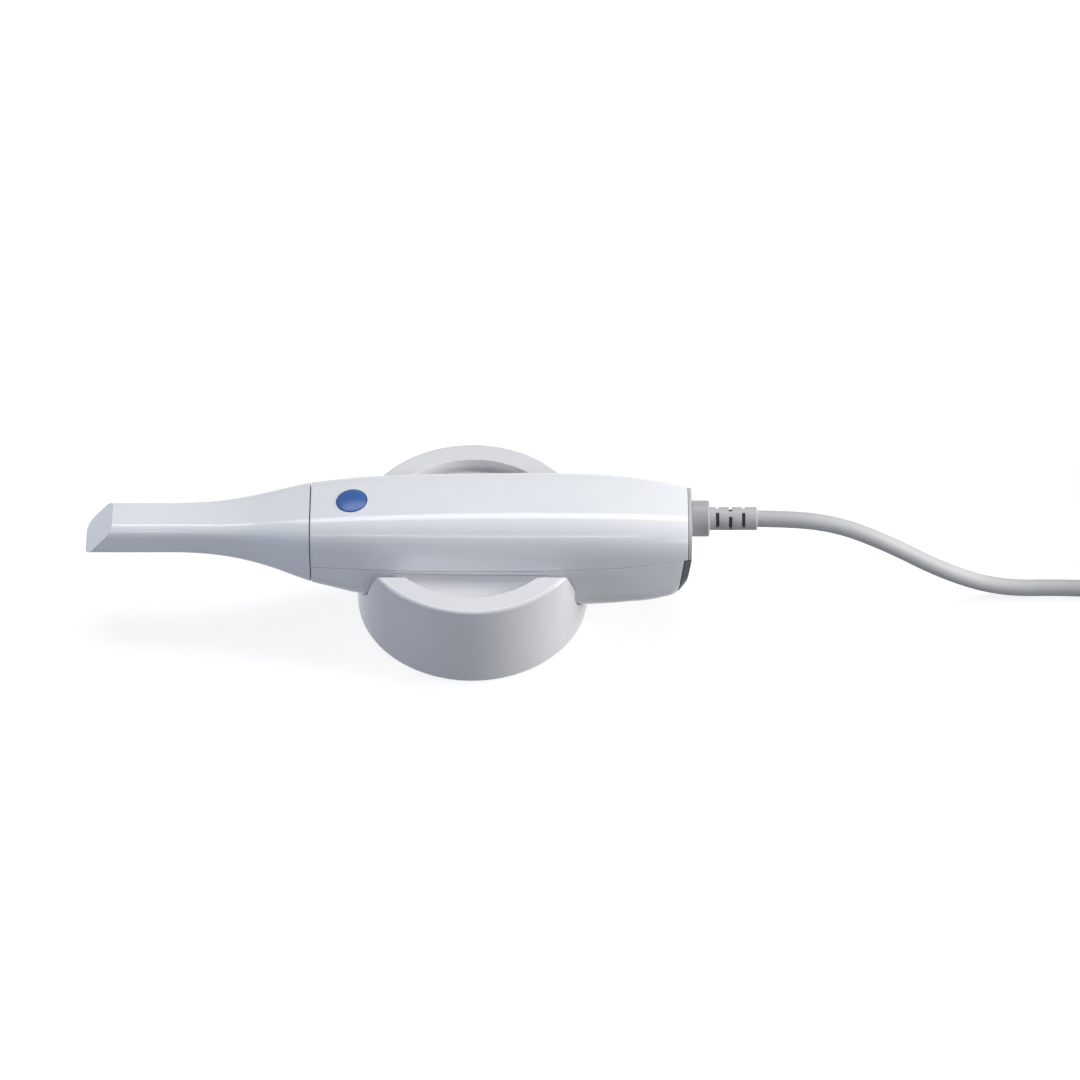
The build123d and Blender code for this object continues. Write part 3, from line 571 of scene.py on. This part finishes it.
def make_tracks():
    """Copper tracks and round pads that stand out under the lacquer of a board."""
    tree, given, out = group("board_tracks")
    place = add_node(tree, "ShaderNodeTexCoord")
    lines = add_node(tree, "ShaderNodeTexBrick", offset=0.37, squash=1.6, squash_frequency=3)
    lines.inputs["Mortar Size"].default_value = 0.035
    pads = add_node(tree, "ShaderNodeTexVoronoi")
    round_pad = add_node(tree, "ShaderNodeMath", operation="LESS_THAN")
    round_pad.inputs[1].default_value = 0.16
    either = add_node(tree, "ShaderNodeMath", operation="MAXIMUM")
    link = tree.links.new
    for pattern in (lines, pads):
        link(place.outputs["Object"], pattern.inputs["Vector"])
    link(given.outputs["Grain"], lines.inputs["Scale"])
    link(given.outputs["Drift"], pads.inputs["Scale"])
    link(pads.outputs["Distance"], round_pad.inputs[0])
    link(lines.outputs["Fac"], either.inputs[0])
    link(round_pad.outputs[0], either.inputs[1])
    for label in ("Height", "Gloss", "Tone"):
        link(either.outputs[0], out.inputs[label])
    return tree


def make_weave():
    """Plain weave of crossing threads, for the strap of the cable."""
    tree, given, out = group("plain_weave")
    place = add_node(tree, "ShaderNodeTexCoord")
    warp = add_node(tree, "ShaderNodeTexWave", bands_direction="Y", Distortion=1.0, Detail=1.0)
    weft = add_node(tree, "ShaderNodeTexWave", bands_direction="DIAGONAL", Distortion=1.0, Detail=1.0)
    cross = add_node(tree, "ShaderNodeMath", operation="MULTIPLY")
    fluff = add_node(tree, "ShaderNodeTexNoise", Detail=4.0)
    link = tree.links.new
    for pattern in (warp, weft, fluff):
        link(place.outputs["Object"], pattern.inputs["Vector"])
    for thread in (warp, weft):
        link(given.outputs["Grain"], thread.inputs["Scale"])
    link(given.outputs["Drift"], fluff.inputs["Scale"])
    link(warp.outputs["Fac"], cross.inputs[0])
    link(weft.outputs["Fac"], cross.inputs[1])
    link(cross.outputs[0], out.inputs["Height"])
    link(fluff.outputs["Fac"], out.inputs["Gloss"])
    link(cross.outputs[0], out.inputs["Tone"])
    return tree


moulded_grain = make_grain()
brushed_streaks = make_streaks()
board_tracks = make_tracks()
plain_weave = make_weave()

# Range of a pattern's values that the tones and the gloss of a finish are spread over
pattern_low = 0.3
pattern_high = 0.7


def finish(
    name, tones, gloss, grain, drift=40.0, depth=0.02, strength=0.15, pattern=moulded_grain, **sockets
):
    """A finish of two close tones, a range of roughness and a fine relief, all from one pattern."""
    material = bpy.data.materials.new(name)
    material.use_nodes = True
    tree = material.node_tree
    shader = tree.nodes["Principled BSDF"]
    for label, value in sockets.items():
        shader.inputs[label.replace("__", " ")].default_value = value
    surface = add_node(tree, "ShaderNodeGroup", node_tree=pattern)
    surface.inputs["Grain"].default_value = grain
    surface.inputs["Drift"].default_value = drift
    ramp = add_node(tree, "ShaderNodeValToRGB")
    for element, position, tone in zip(ramp.color_ramp.elements, (pattern_low, pattern_high), tones):
        element.position = position
        element.color = (*tone, 1)
    polish = add_node(
        tree, "ShaderNodeMapRange", From__Min=pattern_low, From__Max=pattern_high,
        To__Min=gloss[0], To__Max=gloss[1],
    )
    bump = add_node(tree, "ShaderNodeBump", Strength=strength, Distance=depth * MM)
    link = tree.links.new
    link(surface.outputs["Tone"], ramp.inputs["Fac"])
    link(ramp.outputs["Color"], shader.inputs["Base Color"])
    link(surface.outputs["Gloss"], polish.inputs["Value"])
    link(polish.outputs["Result"], shader.inputs["Roughness"])
    link(surface.outputs["Height"], bump.inputs["Height"])
    link(bump.outputs["Normal"], shader.inputs["Normal"])
    return material


finishes = {
    "white_plastic": finish(
        "white_plastic", ((0.82, 0.83, 0.85), (0.85, 0.86, 0.88)), (0.15, 0.19), 3000, strength=0.015
    ),
    # Darker copy of the white plastic for the rear plate: painted shade
    "painted_shade_white_plastic": finish(
        "painted_shade_white_plastic", ((0.45, 0.455, 0.465), (0.48, 0.485, 0.495)), (0.4, 0.48), 3000, strength=0.02
    ),
    "cradle_plastic": finish(
        "cradle_plastic", ((0.73, 0.73, 0.745), (0.76, 0.76, 0.775)), (0.18, 0.22), 2200, strength=0.02
    ),
    "dark_plastic": finish("dark_plastic", ((0.075, 0.08, 0.09), (0.09, 0.095, 0.105)), (0.45, 0.6), 2500),
    "grey_plastic": finish("grey_plastic", ((0.40, 0.40, 0.41), (0.44, 0.44, 0.45)), (0.42, 0.52), 2500),
    "blue_plastic": finish(
        "blue_plastic", ((0.02, 0.1, 0.36), (0.026, 0.115, 0.39)), (0.22, 0.28), 3000, strength=0.06,
        Specular__IOR__Level=0.35,
    ),
    "grey_rubber": finish("grey_rubber", ((0.47, 0.47, 0.47), (0.52, 0.52, 0.52)), (0.5, 0.62), 2800),
    "black_rubber": finish("black_rubber", ((0.02, 0.02, 0.02), (0.03, 0.03, 0.03)), (0.6, 0.7), 2500),
    "black_fabric": finish(
        "black_fabric", ((0.012, 0.012, 0.014), (0.05, 0.05, 0.053)), (0.8, 0.95), 320, drift=900.0,
        depth=0.3, strength=0.9, pattern=plain_weave, Sheen__Weight=0.25,
    ),
    "circuit_board": finish(
        "circuit_board", ((0.008, 0.07, 0.03), (0.03, 0.19, 0.085)), (0.26, 0.4), 130, drift=420.0,
        depth=0.035, strength=0.8, pattern=board_tracks,
    ),
    "aluminium": finish(
        "aluminium", ((0.62, 0.63, 0.64), (0.7, 0.71, 0.72)), (0.28, 0.42), 2600, pattern=brushed_streaks,
        Metallic=1.0,
    ),
    "black_metal": finish("black_metal", ((0.02, 0.02, 0.022), (0.03, 0.03, 0.033)), (0.4, 0.5), 2500),
    "spring_steel": finish(
        "spring_steel", ((0.5, 0.5, 0.51), (0.58, 0.58, 0.59)), (0.2, 0.34), 3200, pattern=brushed_streaks,
        Metallic=1.0,
    ),
    "plated_steel": finish(
        "plated_steel", ((0.66, 0.66, 0.65), (0.74, 0.74, 0.72)), (0.1, 0.2), 2200, pattern=brushed_streaks,
        Metallic=1.0,
    ),
    "contact_gold": finish(
        "contact_gold", ((0.72, 0.49, 0.16), (0.78, 0.56, 0.22)), (0.16, 0.26), 2600,
        pattern=brushed_streaks, Metallic=1.0,
    ),
    "glass": finish(
        "glass", ((0.86, 0.92, 0.94), (0.9, 0.95, 0.96)), (0.0, 0.04), 1500, Transmission__Weight=1.0
    ),
    "mirror": finish("mirror", ((0.86, 0.87, 0.88), (0.9, 0.91, 0.92)), (0.0, 0.03), 1500, Metallic=1.0),
}


def keep(piece, body, slot, *nodes, look=None):
    """Give a finished piece its material, its body and the solids it stands for."""
    piece.data.materials.clear()
    piece.data.materials.append(finishes[look or slot])
    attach(piece, body)
    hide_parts(*nodes)
    return piece


# Directions and planes that several pieces share
along_x = Vector((1, 0, 0))
along_y = Vector((0, 1, 0))
up = Vector((0, 0, 1))
parting_rise = (parting_z_rear - parting_z_front) / (rear_x - seam_x)
parting_up = Vector((-parting_rise, 0, 1)).normalized()
parting_point = mm(seam_x, 0, parting_z_front)
half_gap = parting_up * parting_gap / 2 * MM
vent_lean = (vent_x_high - vent_x_low) / (parting_z_rear - vent_z_low)
vent_out = Vector((1, 0, -vent_lean)).normalized()
vent_point = mm(vent_x_low, 0, vent_z_low)
vent_end_out = Vector((math.cos(math.radians(vent_end_lean)), 0, -math.sin(math.radians(vent_end_lean))))
end_out = Vector((-math.cos(math.radians(tip_lean)), 0, math.sin(math.radians(tip_lean))))
button_up = Vector((-math.sin(math.radians(button_tilt)), 0, math.cos(math.radians(button_tilt))))
button_side = Vector((math.cos(math.radians(button_tilt)), 0, math.sin(math.radians(button_tilt))))
button_point = mm(button_x, 0, button_z)


def make_tip():
    """Pull-off tip: closed slanted end, open rear end, window on its underside."""
    tip_end = seam_x - seam_gap
    tip = loft("tip_form", tip_stations, tip_x - tip_overrun, tip_end, open_at=(tip_end,))
    slice_off(tip, mm(tip_x, 0, tip_z_low), end_out, fill=True)
    wall(tip, tip_wall)
    middle = mm(tip_x + window_setback + window_length / 2, 0, tip_z_low - tip_wall)
    across = (window_length, window_width, 0)
    cut(tip, prism("window", middle, across, window_corner, up * 3 * tip_wall * MM))
    soften(tip, tip_edge)
    keep(tip, "tip", "white_plastic", "tip_sleeve")


def make_nose():
    """Nose that the tip slides over, and its seal."""
    nose = loft("nose_form", tip_stations, nose_x, seam_x, -nose_inset, open_at=(nose_x, seam_x))
    wall(nose, nose_wall)
    plug = loft("plug", housing_stations, seam_x, plug_x, -plug_inset, open_at=(seam_x, plug_x))
    wall(plug, nose_wall)
    together([nose, plug])
    soften(nose, nose_edge)
    keep(nose, "handpiece", "dark_plastic", "nose_tube")
    seal_x = seam_x - seal_setback
    seal = loft("seal_form", tip_stations, seal_x - seal_width, seal_x, -seal_inset,
                open_at=(seal_x - seal_width, seal_x))
    wall(seal, seal_wall)
    soften(seal, seal_edge, segments=3)
    keep(seal, "handpiece", "black_rubber", "seal_ring")


def post(x, y, z_low, z_high, radius, bore):
    """Upright post with a hole along it."""
    outline = [(bore, z_low), (radius, z_low), (radius, z_high), (bore, z_high)]
    return turned("post", outline, mm(x, y, 0), up, along_x, closed=True, steps=post_steps)


def screw_post(x, y):
    """Post of the lower shell, with room for the head of a screw in its foot."""
    top = 2 * parting_z_rear
    outline = [(screw_hole_radius, 0), (boss_radius, 0), (boss_radius, top), (screw_radius, top),
               (screw_radius, screw_head_z), (screw_hole_radius, screw_head_z)]
    return turned("post", outline, mm(x, y, 0), up, along_x, closed=True, steps=post_steps)


def make_upper_shell():
    """Upper half of the housing, with the hole of the button."""
    ends = (seam_x, shell_rear_x)
    shell = loft("upper_shell_form", housing_stations, *ends, open_at=ends)
    slice_off(shell, parting_point + half_gap, -parting_up)
    wall(shell, shell_wall)
    round_edges(shell, shell_edge)
    hole = [(0, -2 * shell_wall), (button_radius + button_gap, -2 * shell_wall),
            (button_radius + button_gap, 2 * shell_wall), (0, 2 * shell_wall)]
    cut(shell, turned("hole", hole, button_point, button_up, button_side))
    top = 2 * parting_z_front
    posts = [post(x, y, parting_z_front, top, boss_radius, screw_radius) for x, y in screw_places]
    for across in (-button_post_half_pitch, button_post_half_pitch):
        for side in (-button_post_half_pitch, button_post_half_pitch):
            place = button_point + button_side * across * MM + along_y * side * MM
            outline = [(0, -button_board_depth), (button_post_radius, -button_board_depth),
                       (button_post_radius, button_board_depth), (0, button_board_depth)]
            posts.append(turned("post", outline, place, button_up, button_side, steps=post_steps))
    posts = within(together(posts), loft("limit", housing_stations, seam_x, rear_x, -shell_wall / 2))
    slice_off(posts, parting_point + half_gap, -parting_up, fill=True)
    shade(shell)
    together([shell, posts])
    keep(shell, "handpiece", "white_plastic", "upper_shell")


def make_lower_shell():
    """Lower half of the housing, with the holes of its screws underneath."""
    shell = loft("lower_shell_form", housing_stations, seam_x, rear_x, open_at=(seam_x, rear_x))
    slice_off(shell, parting_point - half_gap, parting_up)
    slice_off(shell, vent_point - vent_out * plate_gap * MM, vent_out)
    wall(shell, shell_wall)
    round_edges(shell, shell_edge)
    posts = [screw_post(x, y) for x, y in screw_places]
    posts += [post(x, y, 0, bench_z, inner_post_radius, screw_radius) for x, y in bench_post_places]
    posts += [post(x, y, 0, board_z, inner_post_radius, screw_radius) for x, y in board_post_places]
    posts = within(together(posts), loft("limit", housing_stations, seam_x, rear_x, -shell_wall / 2))
    slice_off(posts, parting_point - half_gap, parting_up, fill=True)
    lip_end = vent_x_low - plate_gap
    lip = loft("lip", housing_stations, plug_x, lip_end, -shell_wall - lip_gap, open_at=(plug_x, lip_end))
    slice_off(lip, parting_point + parting_up * lip_height * MM, parting_up)
    slice_off(lip, parting_point - parting_up * lip_root * MM, -parting_up)
    wall(lip, lip_thickness)
    hole = [(0, 0), (screw_hole_radius, 0), (screw_hole_radius, screw_head_z), (0, screw_head_z)]
    for x, y in screw_places:
        cut(shell, turned("hole", hole, mm(x, y, 0), up, along_x, steps=post_steps))
    shade(shell)
    together([shell, posts, lip])
    keep(shell, "handpiece", "white_plastic", "lower_shell")


def round_end(piece, out, width):
    """Round the rim of the flat end of a piece that faces a given way."""
    take(piece)
    bpy.ops.object.mode_set(mode="EDIT")
    pick("EDGE", lambda edge: sum(face.normal.dot(out) > same_way for face in edge.link_faces) == 1)
    bpy.ops.mesh.bevel(offset=width * MM, segments=round_steps, affect="EDGES", clamp_overlap=True)
    bpy.ops.object.mode_set(mode="OBJECT")


def make_rear_end():
    """White plate above and dark vent below, which close the rear of the housing."""
    plate = loft("rear_plate_form", housing_stations, shell_rear_x + plate_hairline, rear_x)
    slice_off(plate, parting_point + half_gap, -parting_up, fill=True)
    neck_hole = [(0, -plate_lip), (neck_radius, -plate_lip), (neck_radius, plate_lip), (0, plate_lip)]
    cut(plate, turned("hole", neck_hole, mm(rear_x, 0, cord_z), along_x, along_y, steps=neck_hole_steps))
    lip_x = (shell_rear_x - plate_lip, rear_x - plate_thickness)
    lip = loft("lip", housing_stations, *lip_x, -shell_wall - lip_gap, open_at=lip_x)
    slice_off(lip, parting_point + parting_up * (lip_height + parting_gap) * MM, -parting_up)
    wall(lip, lip_thickness)
    soften(plate, plate_edge)
    together([plate, lip])
    # The rear plate takes the darker copy of the white plastic: painted shade
    keep(plate, "handpiece", "white_plastic", "rear_plate", look="painted_shade_white_plastic")
    vent = loft("rear_vent_form", housing_stations, vent_x_low - shell_wall, rear_x)
    slice_off(vent, mm(rear_x, 0, parting_z_rear), vent_end_out, fill=True)
    round_end(vent, vent_end_out, vent_end_round)
    slice_off(vent, parting_point - half_gap, parting_up)
    slice_off(vent, vent_point, -vent_out)
    wall(vent, vent_wall)
    for i in range(vent_slots):
        middle = mm(rear_x - 2 * vent_wall, 0, vent_slot_z + i * vent_slot_pitch)
        across = (0, vent_slot_width, vent_slot_height)
        cut(vent, prism("slot", middle, across, vent_slot_corner, along_x * 3 * vent_wall * MM))
    soften(vent, vent_edge)
    keep(vent, "handpiece", "dark_plastic", "rear_vent")


def make_button():
    """Domed button with its flange and stem below the shell."""
    cap_radius = (button_radius ** 2 + button_dome ** 2) / (2 * button_dome)
    dome = []
    for i in range(corner_steps):
        r = button_radius * i / corner_steps
        dome.append((r, button_edge + button_dome - cap_radius + math.sqrt(cap_radius ** 2 - r ** 2)))
    flange_low = -button_skirt - button_flange_thickness
    outline = dome + [
        (button_radius, button_edge, button_rim_round),
        (button_radius, -button_skirt),
        (button_radius + button_flange, -button_skirt),
        (button_radius + button_flange, flange_low),
        (button_stem_radius, flange_low),
        (button_stem_radius, flange_low - button_stem_length),
        (0, flange_low - button_stem_length),
    ]
    button = turned("button_form", outline, button_point, button_up, button_side)
    shade(button)
    keep(button, "button", "blue_plastic", "scan_button")


def make_cable_entry():
    """Round collar on the rear plate, the slotted boot behind it, and a dark sleeve in the boot that is
    painted shade for its slots.
    """
    root = mm(rear_x, 0, cord_z)
    collar_length = collar_end_x - rear_x
    outline = [
        (0, collar_length / 2),
        (lead_bore, collar_length / 2),
        (lead_bore, -neck_length),
        (neck_radius, -neck_length),
        (neck_radius, 0),
        (collar_radius, 0, collar_root_round),
        (collar_radius, collar_length, collar_round),
        (0, collar_length),
    ]
    collar = turned("collar_form", outline, root, along_x, along_y)
    shade(collar)
    keep(collar, "handpiece", "grey_plastic", "cable_collar")
    boot_length = boot_end_x - collar_end_x
    outline = [(boot_bore, 0), (boot_radius, 0), (boot_radius, boot_length, boot_end_round),
               (boot_bore, boot_length)]
    boot_root = mm(collar_end_x, 0, cord_z)
    boot = turned("boot_form", outline, boot_root, along_x, along_y, closed=True)
    slot_in = boot_bore - boot_slot_reach_in
    slot_out = boot_radius + boot_slot_reach_out
    for i, turn in enumerate(boot_slot_turns):
        low = boot_slot_start + i * boot_slot_pitch - boot_slot / 2
        high = low + boot_slot
        outline = [(slot_in, low), (slot_out, low), (slot_out, high), (slot_in, high)]
        for third in (0, 120, 240):
            angle = math.radians(turn + third - boot_slot_half_span)
            side = Vector((0, math.cos(angle), math.sin(angle)))
            cut(boot, turned("slot", outline, boot_root, along_x, side, closed=True,
                             sweep=2 * boot_slot_half_span, steps=slot_steps))
    soften(boot, boot_edge)
    keep(boot, "handpiece", "grey_rubber", "strain_relief")
    # Dark sleeve under the slots of the boot: painted shade in them
    shade_sleeve_end = boot_length - boot_slot
    outline = [(shade_sleeve_bore, 0), (shade_sleeve_radius, 0), (shade_sleeve_radius, shade_sleeve_end, shade_sleeve_end_round),
               (shade_sleeve_bore, shade_sleeve_end)]
    shade_sleeve = turned("painted_shade_sleeve", outline, boot_root, along_x, along_y, closed=True)
    shade(shade_sleeve)
    keep(shade_sleeve, "handpiece", "black_rubber")


def make_cradle():
    """Round stand: ring wall round a shallow recess, with the trough that the scanner lies in."""
    inner = cradle_radius - rim_width
    floor_z = cradle_z_high - recess_depth
    outline = [
        (0, floor_z),
        (inner, floor_z, recess_corner),
        (inner, cradle_z_high, rim_inner_round),
        (cradle_radius, cradle_z_high, rim_round),
        (cradle_radius, cradle_z_low, foot_round),
        (base_recess_radius, cradle_z_low),
        (base_recess_radius, cradle_z_low + base_recess_depth),
        (0, cradle_z_low + base_recess_depth),
    ]
    cradle = turned("cradle_form", outline, mm(0, 0, 0), up, along_x)
    trough_end = cradle_radius + trough_overrun
    trough = loft("trough", housing_stations, -trough_end, trough_end, rest_gap)
    notch = start("notch")
    low = cradle_z_high - notch_depth
    slope = (notch_half_width_high - notch_half_width_low) / notch_depth
    bpy.ops.mesh.primitive_plane_add(size=MM, location=mm(0, 0, low))
    across = (4 * cradle_radius, 2 * notch_half_width_low, 1)
    bpy.ops.transform.resize(value=across, center_override=mm(0, 0, low))
    bpy.ops.mesh.extrude_region_move(TRANSFORM_OT_translate={"value": up * 2 * notch_depth * MM})
    widen = 1 + 2 * notch_depth * slope / notch_half_width_low
    bpy.ops.transform.resize(value=(1, widen, 1), center_override=mm(0, 0, low))
    close(notch)
    core_radius = inner - rest_gap / 2
    core = [(0, 0), (core_radius, 0), (core_radius, 2 * cradle_z_high), (0, 2 * cradle_z_high)]
    cut(notch, turned("core", core, mm(0, 0, 0), up, along_x))
    cut(cradle, trough, notch)
    soften(cradle, cradle_edge, sharp=35)
    keep(cradle, "handpiece", "cradle_plastic", "cradle")


def dress(node, width):
    """Copy of a solid with its facets merged and its edges rounded, in the solid's place."""
    piece = bpy.data.objects.new(node + "_form", frame["nodes"][node].data.copy())
    bpy.context.scene.collection.objects.link(piece)
    take(piece)
    bpy.ops.mesh.customdata_custom_splitnormals_clear()
    bpy.ops.object.mode_set(mode="EDIT")
    bpy.ops.mesh.select_all(action="SELECT")
    bpy.ops.mesh.remove_doubles(threshold=merge_distance * MM)
    bpy.ops.mesh.dissolve_limited(angle_limit=math.radians(0.5))
    bpy.ops.object.mode_set(mode="OBJECT")
    soften(piece, width)
    return keep(piece, body_of[node], slot_of[node], node)


def ease(s):
    """Smooth step from 0 to 1."""
    return s * s * (3 - 2 * s)


def coil_point(turn):
    """One point of the coil: out to in on the floor, in to out above it, and in again on top."""
    width = (coil_radius_out - coil_radius_in) / coil_pitch
    first_climb = width + coil_climb
    second = first_climb + width
    third = second + coil_climb
    if turn < width:
        radius, layer = coil_radius_out - coil_pitch * turn, 0.0
    elif turn < first_climb:
        radius, layer = coil_radius_in, ease((turn - width) / coil_climb)
    elif turn < second:
        radius, layer = coil_radius_in + coil_pitch * (turn - first_climb), 1.0
    elif turn < third:
        radius, layer = coil_radius_out, 1.0 + ease((turn - second) / coil_climb)
    else:
        radius, layer = coil_radius_out - coil_pitch * (turn - third), 2.0
    angle = 2 * math.pi * turn - math.pi / 2
    x = coil_centre[0] + radius * math.cos(angle)
    y = coil_centre[1] + radius * math.sin(angle)
    return x, y, coil_z + layer * coil_pitch


def make_tie():
    """Woven strap drawn round the turns of the coil."""
    low, high = (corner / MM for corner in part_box("cable_tie"))
    inner_radius = cable_radius + tie_slack
    lowest_z = low.z + tie_thickness + inner_radius
    pull = math.cos(math.pi / coil_points_per_turn)
    tie = start("cable_tie_form")
    for turn in range(round(coil_turns)):
        x, _, z = coil_point(turn + tie_turn)
        x = coil_centre[0] + (x - coil_centre[0]) * pull
        bpy.ops.mesh.primitive_cylinder_add(
            vertices=post_steps, radius=inner_radius * MM, depth=(high.y - low.y) * MM,
            location=mm(x, (low.y + high.y) / 2, max(z, lowest_z)), rotation=(math.pi / 2, 0, 0),
        )
    bpy.ops.mesh.select_all(action="SELECT")
    bpy.ops.mesh.convex_hull()
    pick("FACE", lambda face: abs(face.normal.y) > same_way)
    bpy.ops.mesh.delete(type="FACE")
    close(tie)
    modify(tie, "SOLIDIFY", thickness=tie_thickness * MM, offset=1.0, use_even_offset=True)
    soften(tie, tie_edge)
    return keep(tie, "handpiece", "black_fabric", "cable_tie")


def make_contacts():
    """Plated strips on the tongue of the plug."""
    low, high = (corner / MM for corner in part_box("plug_tongue"))
    pitch = (high.x - low.x) / contact_count
    strips = []
    for i in range(contact_count):
        middle = mm(low.x + (i + 0.5) * pitch, (low.y + high.y) / 2, low.z)
        across = (contact_width, high.y - low.y - 2 * contact_width, 0)
        strips.append(prism("plug_contacts", middle, across, contact_width / 3, -up * contact_height * MM))
    contacts = together(strips)
    soften(contacts, contact_edge)
    return keep(contacts, "handpiece", "plated_steel", look="contact_gold")


def make_cable():
    """Free cable as one smooth curve: the run that shows, the coil and the tail to the plug."""
    steps = round(coil_turns * coil_points_per_turn)
    coil = [coil_point(i / coil_points_per_turn) for i in range(steps)]
    points = cable_points + coil + tail_points
    curve = bpy.data.curves.new("cable_run", "CURVE")
    curve.dimensions = "3D"
    spline = curve.splines.new("NURBS")
    spline.points.add(len(points) - 1)
    for control, point in zip(spline.points, points):
        control.co = (*mm(*point), 1)
    spline.order_u = 3
    spline.use_endpoint_u = True
    spline.resolution_u = 8
    curve.bevel_depth = cable_radius * MM
    curve.bevel_resolution = 8
    curve.use_fill_caps = True
    cable = bpy.data.objects.new("cable_run", curve)
    bpy.context.scene.collection.objects.link(cable)
    keep(cable, "handpiece", "grey_rubber", "cable", "cable_coil", "cable_tail")


slot_of = {part["node"]: part["material_slot"] for part in frame["record"]["subparts"]}
body_of = {node: body for body, nodes in frame["record"]["behaviour"]["bodies"].items() for node in nodes}

on_cable = [dress(node, width) for node, width in plug_edges.items()]
on_cable += [make_contacts(), make_tie()]
make_tip()
make_nose()
make_upper_shell()
make_lower_shell()
make_rear_end()
make_button()
make_cable_entry()
make_cradle()
make_cable()
for node, width in dressed_edges.items():
    dress(node, width)

# The solids themselves carry the same finishes
for node, slot in slot_of.items():
    solid = frame["nodes"][node]
    solid.data.materials.clear()
    solid.data.materials.append(finishes[slot])


# Stage: places and sizes in metres, powers in watts
floor_size = 12.0
floor_bounce = (0.08, 0.09, 0.11, 1)
floor_tone = (0.32, 0.32, 0.32, 1)
floor_glow = 0.82
fill_colour = (0.78, 0.87, 1.0, 1)
fill_strength = 0.16
white = (1, 1, 1)
cool = (0.93, 0.96, 1)
blue = (0.68, 0.76, 1)

# Lamps: place, aim, size, power and colour
lamps = {
    "top_softbox": ((0.03, 0.67, 1.46), (0.03, 0, 0.03), (1.4, 0.6), 13.5, white),
    "right_softbox": ((1.4, 0.0, 0.4), (0, 0, 0.03), (0.6, 0.6), 18.0, white),
    "left_softbox": ((-1.3, -0.6, 0.35), (0, 0, 0.03), (0.5, 0.5), 5.2, blue),
    "front_strip": ((0.03, -1.635, 1.507), (0.03, 0, 0.035), (1.4, 0.045), 4.8, cool),
    "low_softbox": ((0.9, -1.2, 0.5), (0, 0, 0.03), (0.5, 0.3), 2.0, white),
}


def seen_by_eye(tree):
    """A value of 1 on camera, glossy and transmission rays, and 0 on the rest."""
    path = add_node(tree, "ShaderNodeLightPath")
    first = add_node(tree, "ShaderNodeMath", operation="MAXIMUM")
    second = add_node(tree, "ShaderNodeMath", operation="MAXIMUM")
    tree.links.new(path.outputs["Is Camera Ray"], first.inputs[0])
    tree.links.new(path.outputs["Is Glossy Ray"], first.inputs[1])
    tree.links.new(first.outputs[0], second.inputs[0])
    tree.links.new(path.outputs["Is Transmission Ray"], second.inputs[1])
    return second.outputs[0]


def make_floor():
    """Pale floor that keeps the shadow and stays white in the picture."""
    bpy.ops.object.select_all(action="DESELECT")
    bpy.ops.mesh.primitive_plane_add(size=floor_size, location=(0, 0, 0))
    floor = bpy.context.object
    floor.name = "floor"
    material = bpy.data.materials.new("pale_floor")
    material.use_nodes = True
    tree = material.node_tree
    tree.nodes.clear()
    out = add_node(tree, "ShaderNodeOutputMaterial")
    bounce = add_node(tree, "ShaderNodeBsdfDiffuse", Color=floor_bounce)
    shaded = add_node(tree, "ShaderNodeBsdfDiffuse", Color=floor_tone)
    glow = add_node(tree, "ShaderNodeEmission", Color=(*white, 1), Strength=floor_glow)
    seen = add_node(tree, "ShaderNodeAddShader")
    mix = add_node(tree, "ShaderNodeMixShader")
    link = tree.links.new
    link(shaded.outputs[0], seen.inputs[0])
    link(glow.outputs[0], seen.inputs[1])
    link(seen_by_eye(tree), mix.inputs[0])
    link(bounce.outputs[0], mix.inputs[1])
    link(seen.outputs[0], mix.inputs[2])
    link(mix.outputs[0], out.inputs["Surface"])
    floor.data.materials.append(material)


def make_world():
    """White behind the object, and a weak cool fill from all round."""
    world = bpy.data.worlds.new("studio")
    bpy.context.scene.world = world
    world.use_nodes = True
    tree = world.node_tree
    tree.nodes.clear()
    out = add_node(tree, "ShaderNodeOutputWorld")
    fill = add_node(tree, "ShaderNodeBackground", Color=fill_colour, Strength=fill_strength)
    backdrop = add_node(tree, "ShaderNodeBackground", Color=(*white, 1), Strength=1.0)
    mix = add_node(tree, "ShaderNodeMixShader")
    tree.links.new(seen_by_eye(tree), mix.inputs[0])
    tree.links.new(fill.outputs[0], mix.inputs[1])
    tree.links.new(backdrop.outputs[0], mix.inputs[2])
    tree.links.new(mix.outputs[0], out.inputs["Surface"])


def make_light(name, place, aim, size, power, colour):
    """Soft rectangular lamp that faces a point."""
    lamp = bpy.data.lights.new(name, "AREA")
    lamp.shape = "RECTANGLE"
    lamp.size, lamp.size_y = size
    lamp.energy = power
    lamp.color = colour
    light = bpy.data.objects.new(name, lamp)
    light.location = place
    light.rotation_euler = (Vector(aim) - Vector(place)).to_track_quat("-Z", "Y").to_euler()
    bpy.context.scene.collection.objects.link(light)


def make_camera():
    """Camera in front of the scanner, looking down at it."""
    lens = 200.0
    sensor = 36.0
    frame_width = 0.45
    elevation = math.radians(47.0)
    target = mm(28.3, 0, 35.1)
    distance = frame_width * lens / sensor
    data = bpy.data.cameras.new("camera")
    data.lens = lens
    data.sensor_width = sensor
    camera = bpy.data.objects.new("camera", data)
    camera.location = target + Vector((0, -math.cos(elevation), math.sin(elevation))) * distance
    camera.rotation_euler = (math.pi / 2 - elevation, 0, 0)
    bpy.context.scene.collection.objects.link(camera)
    bpy.context.scene.camera = camera


make_floor()
make_world()
for name, settings in lamps.items():
    make_light(name, *settings)
make_camera()

bpy.context.scene.view_settings.view_transform = "Standard"
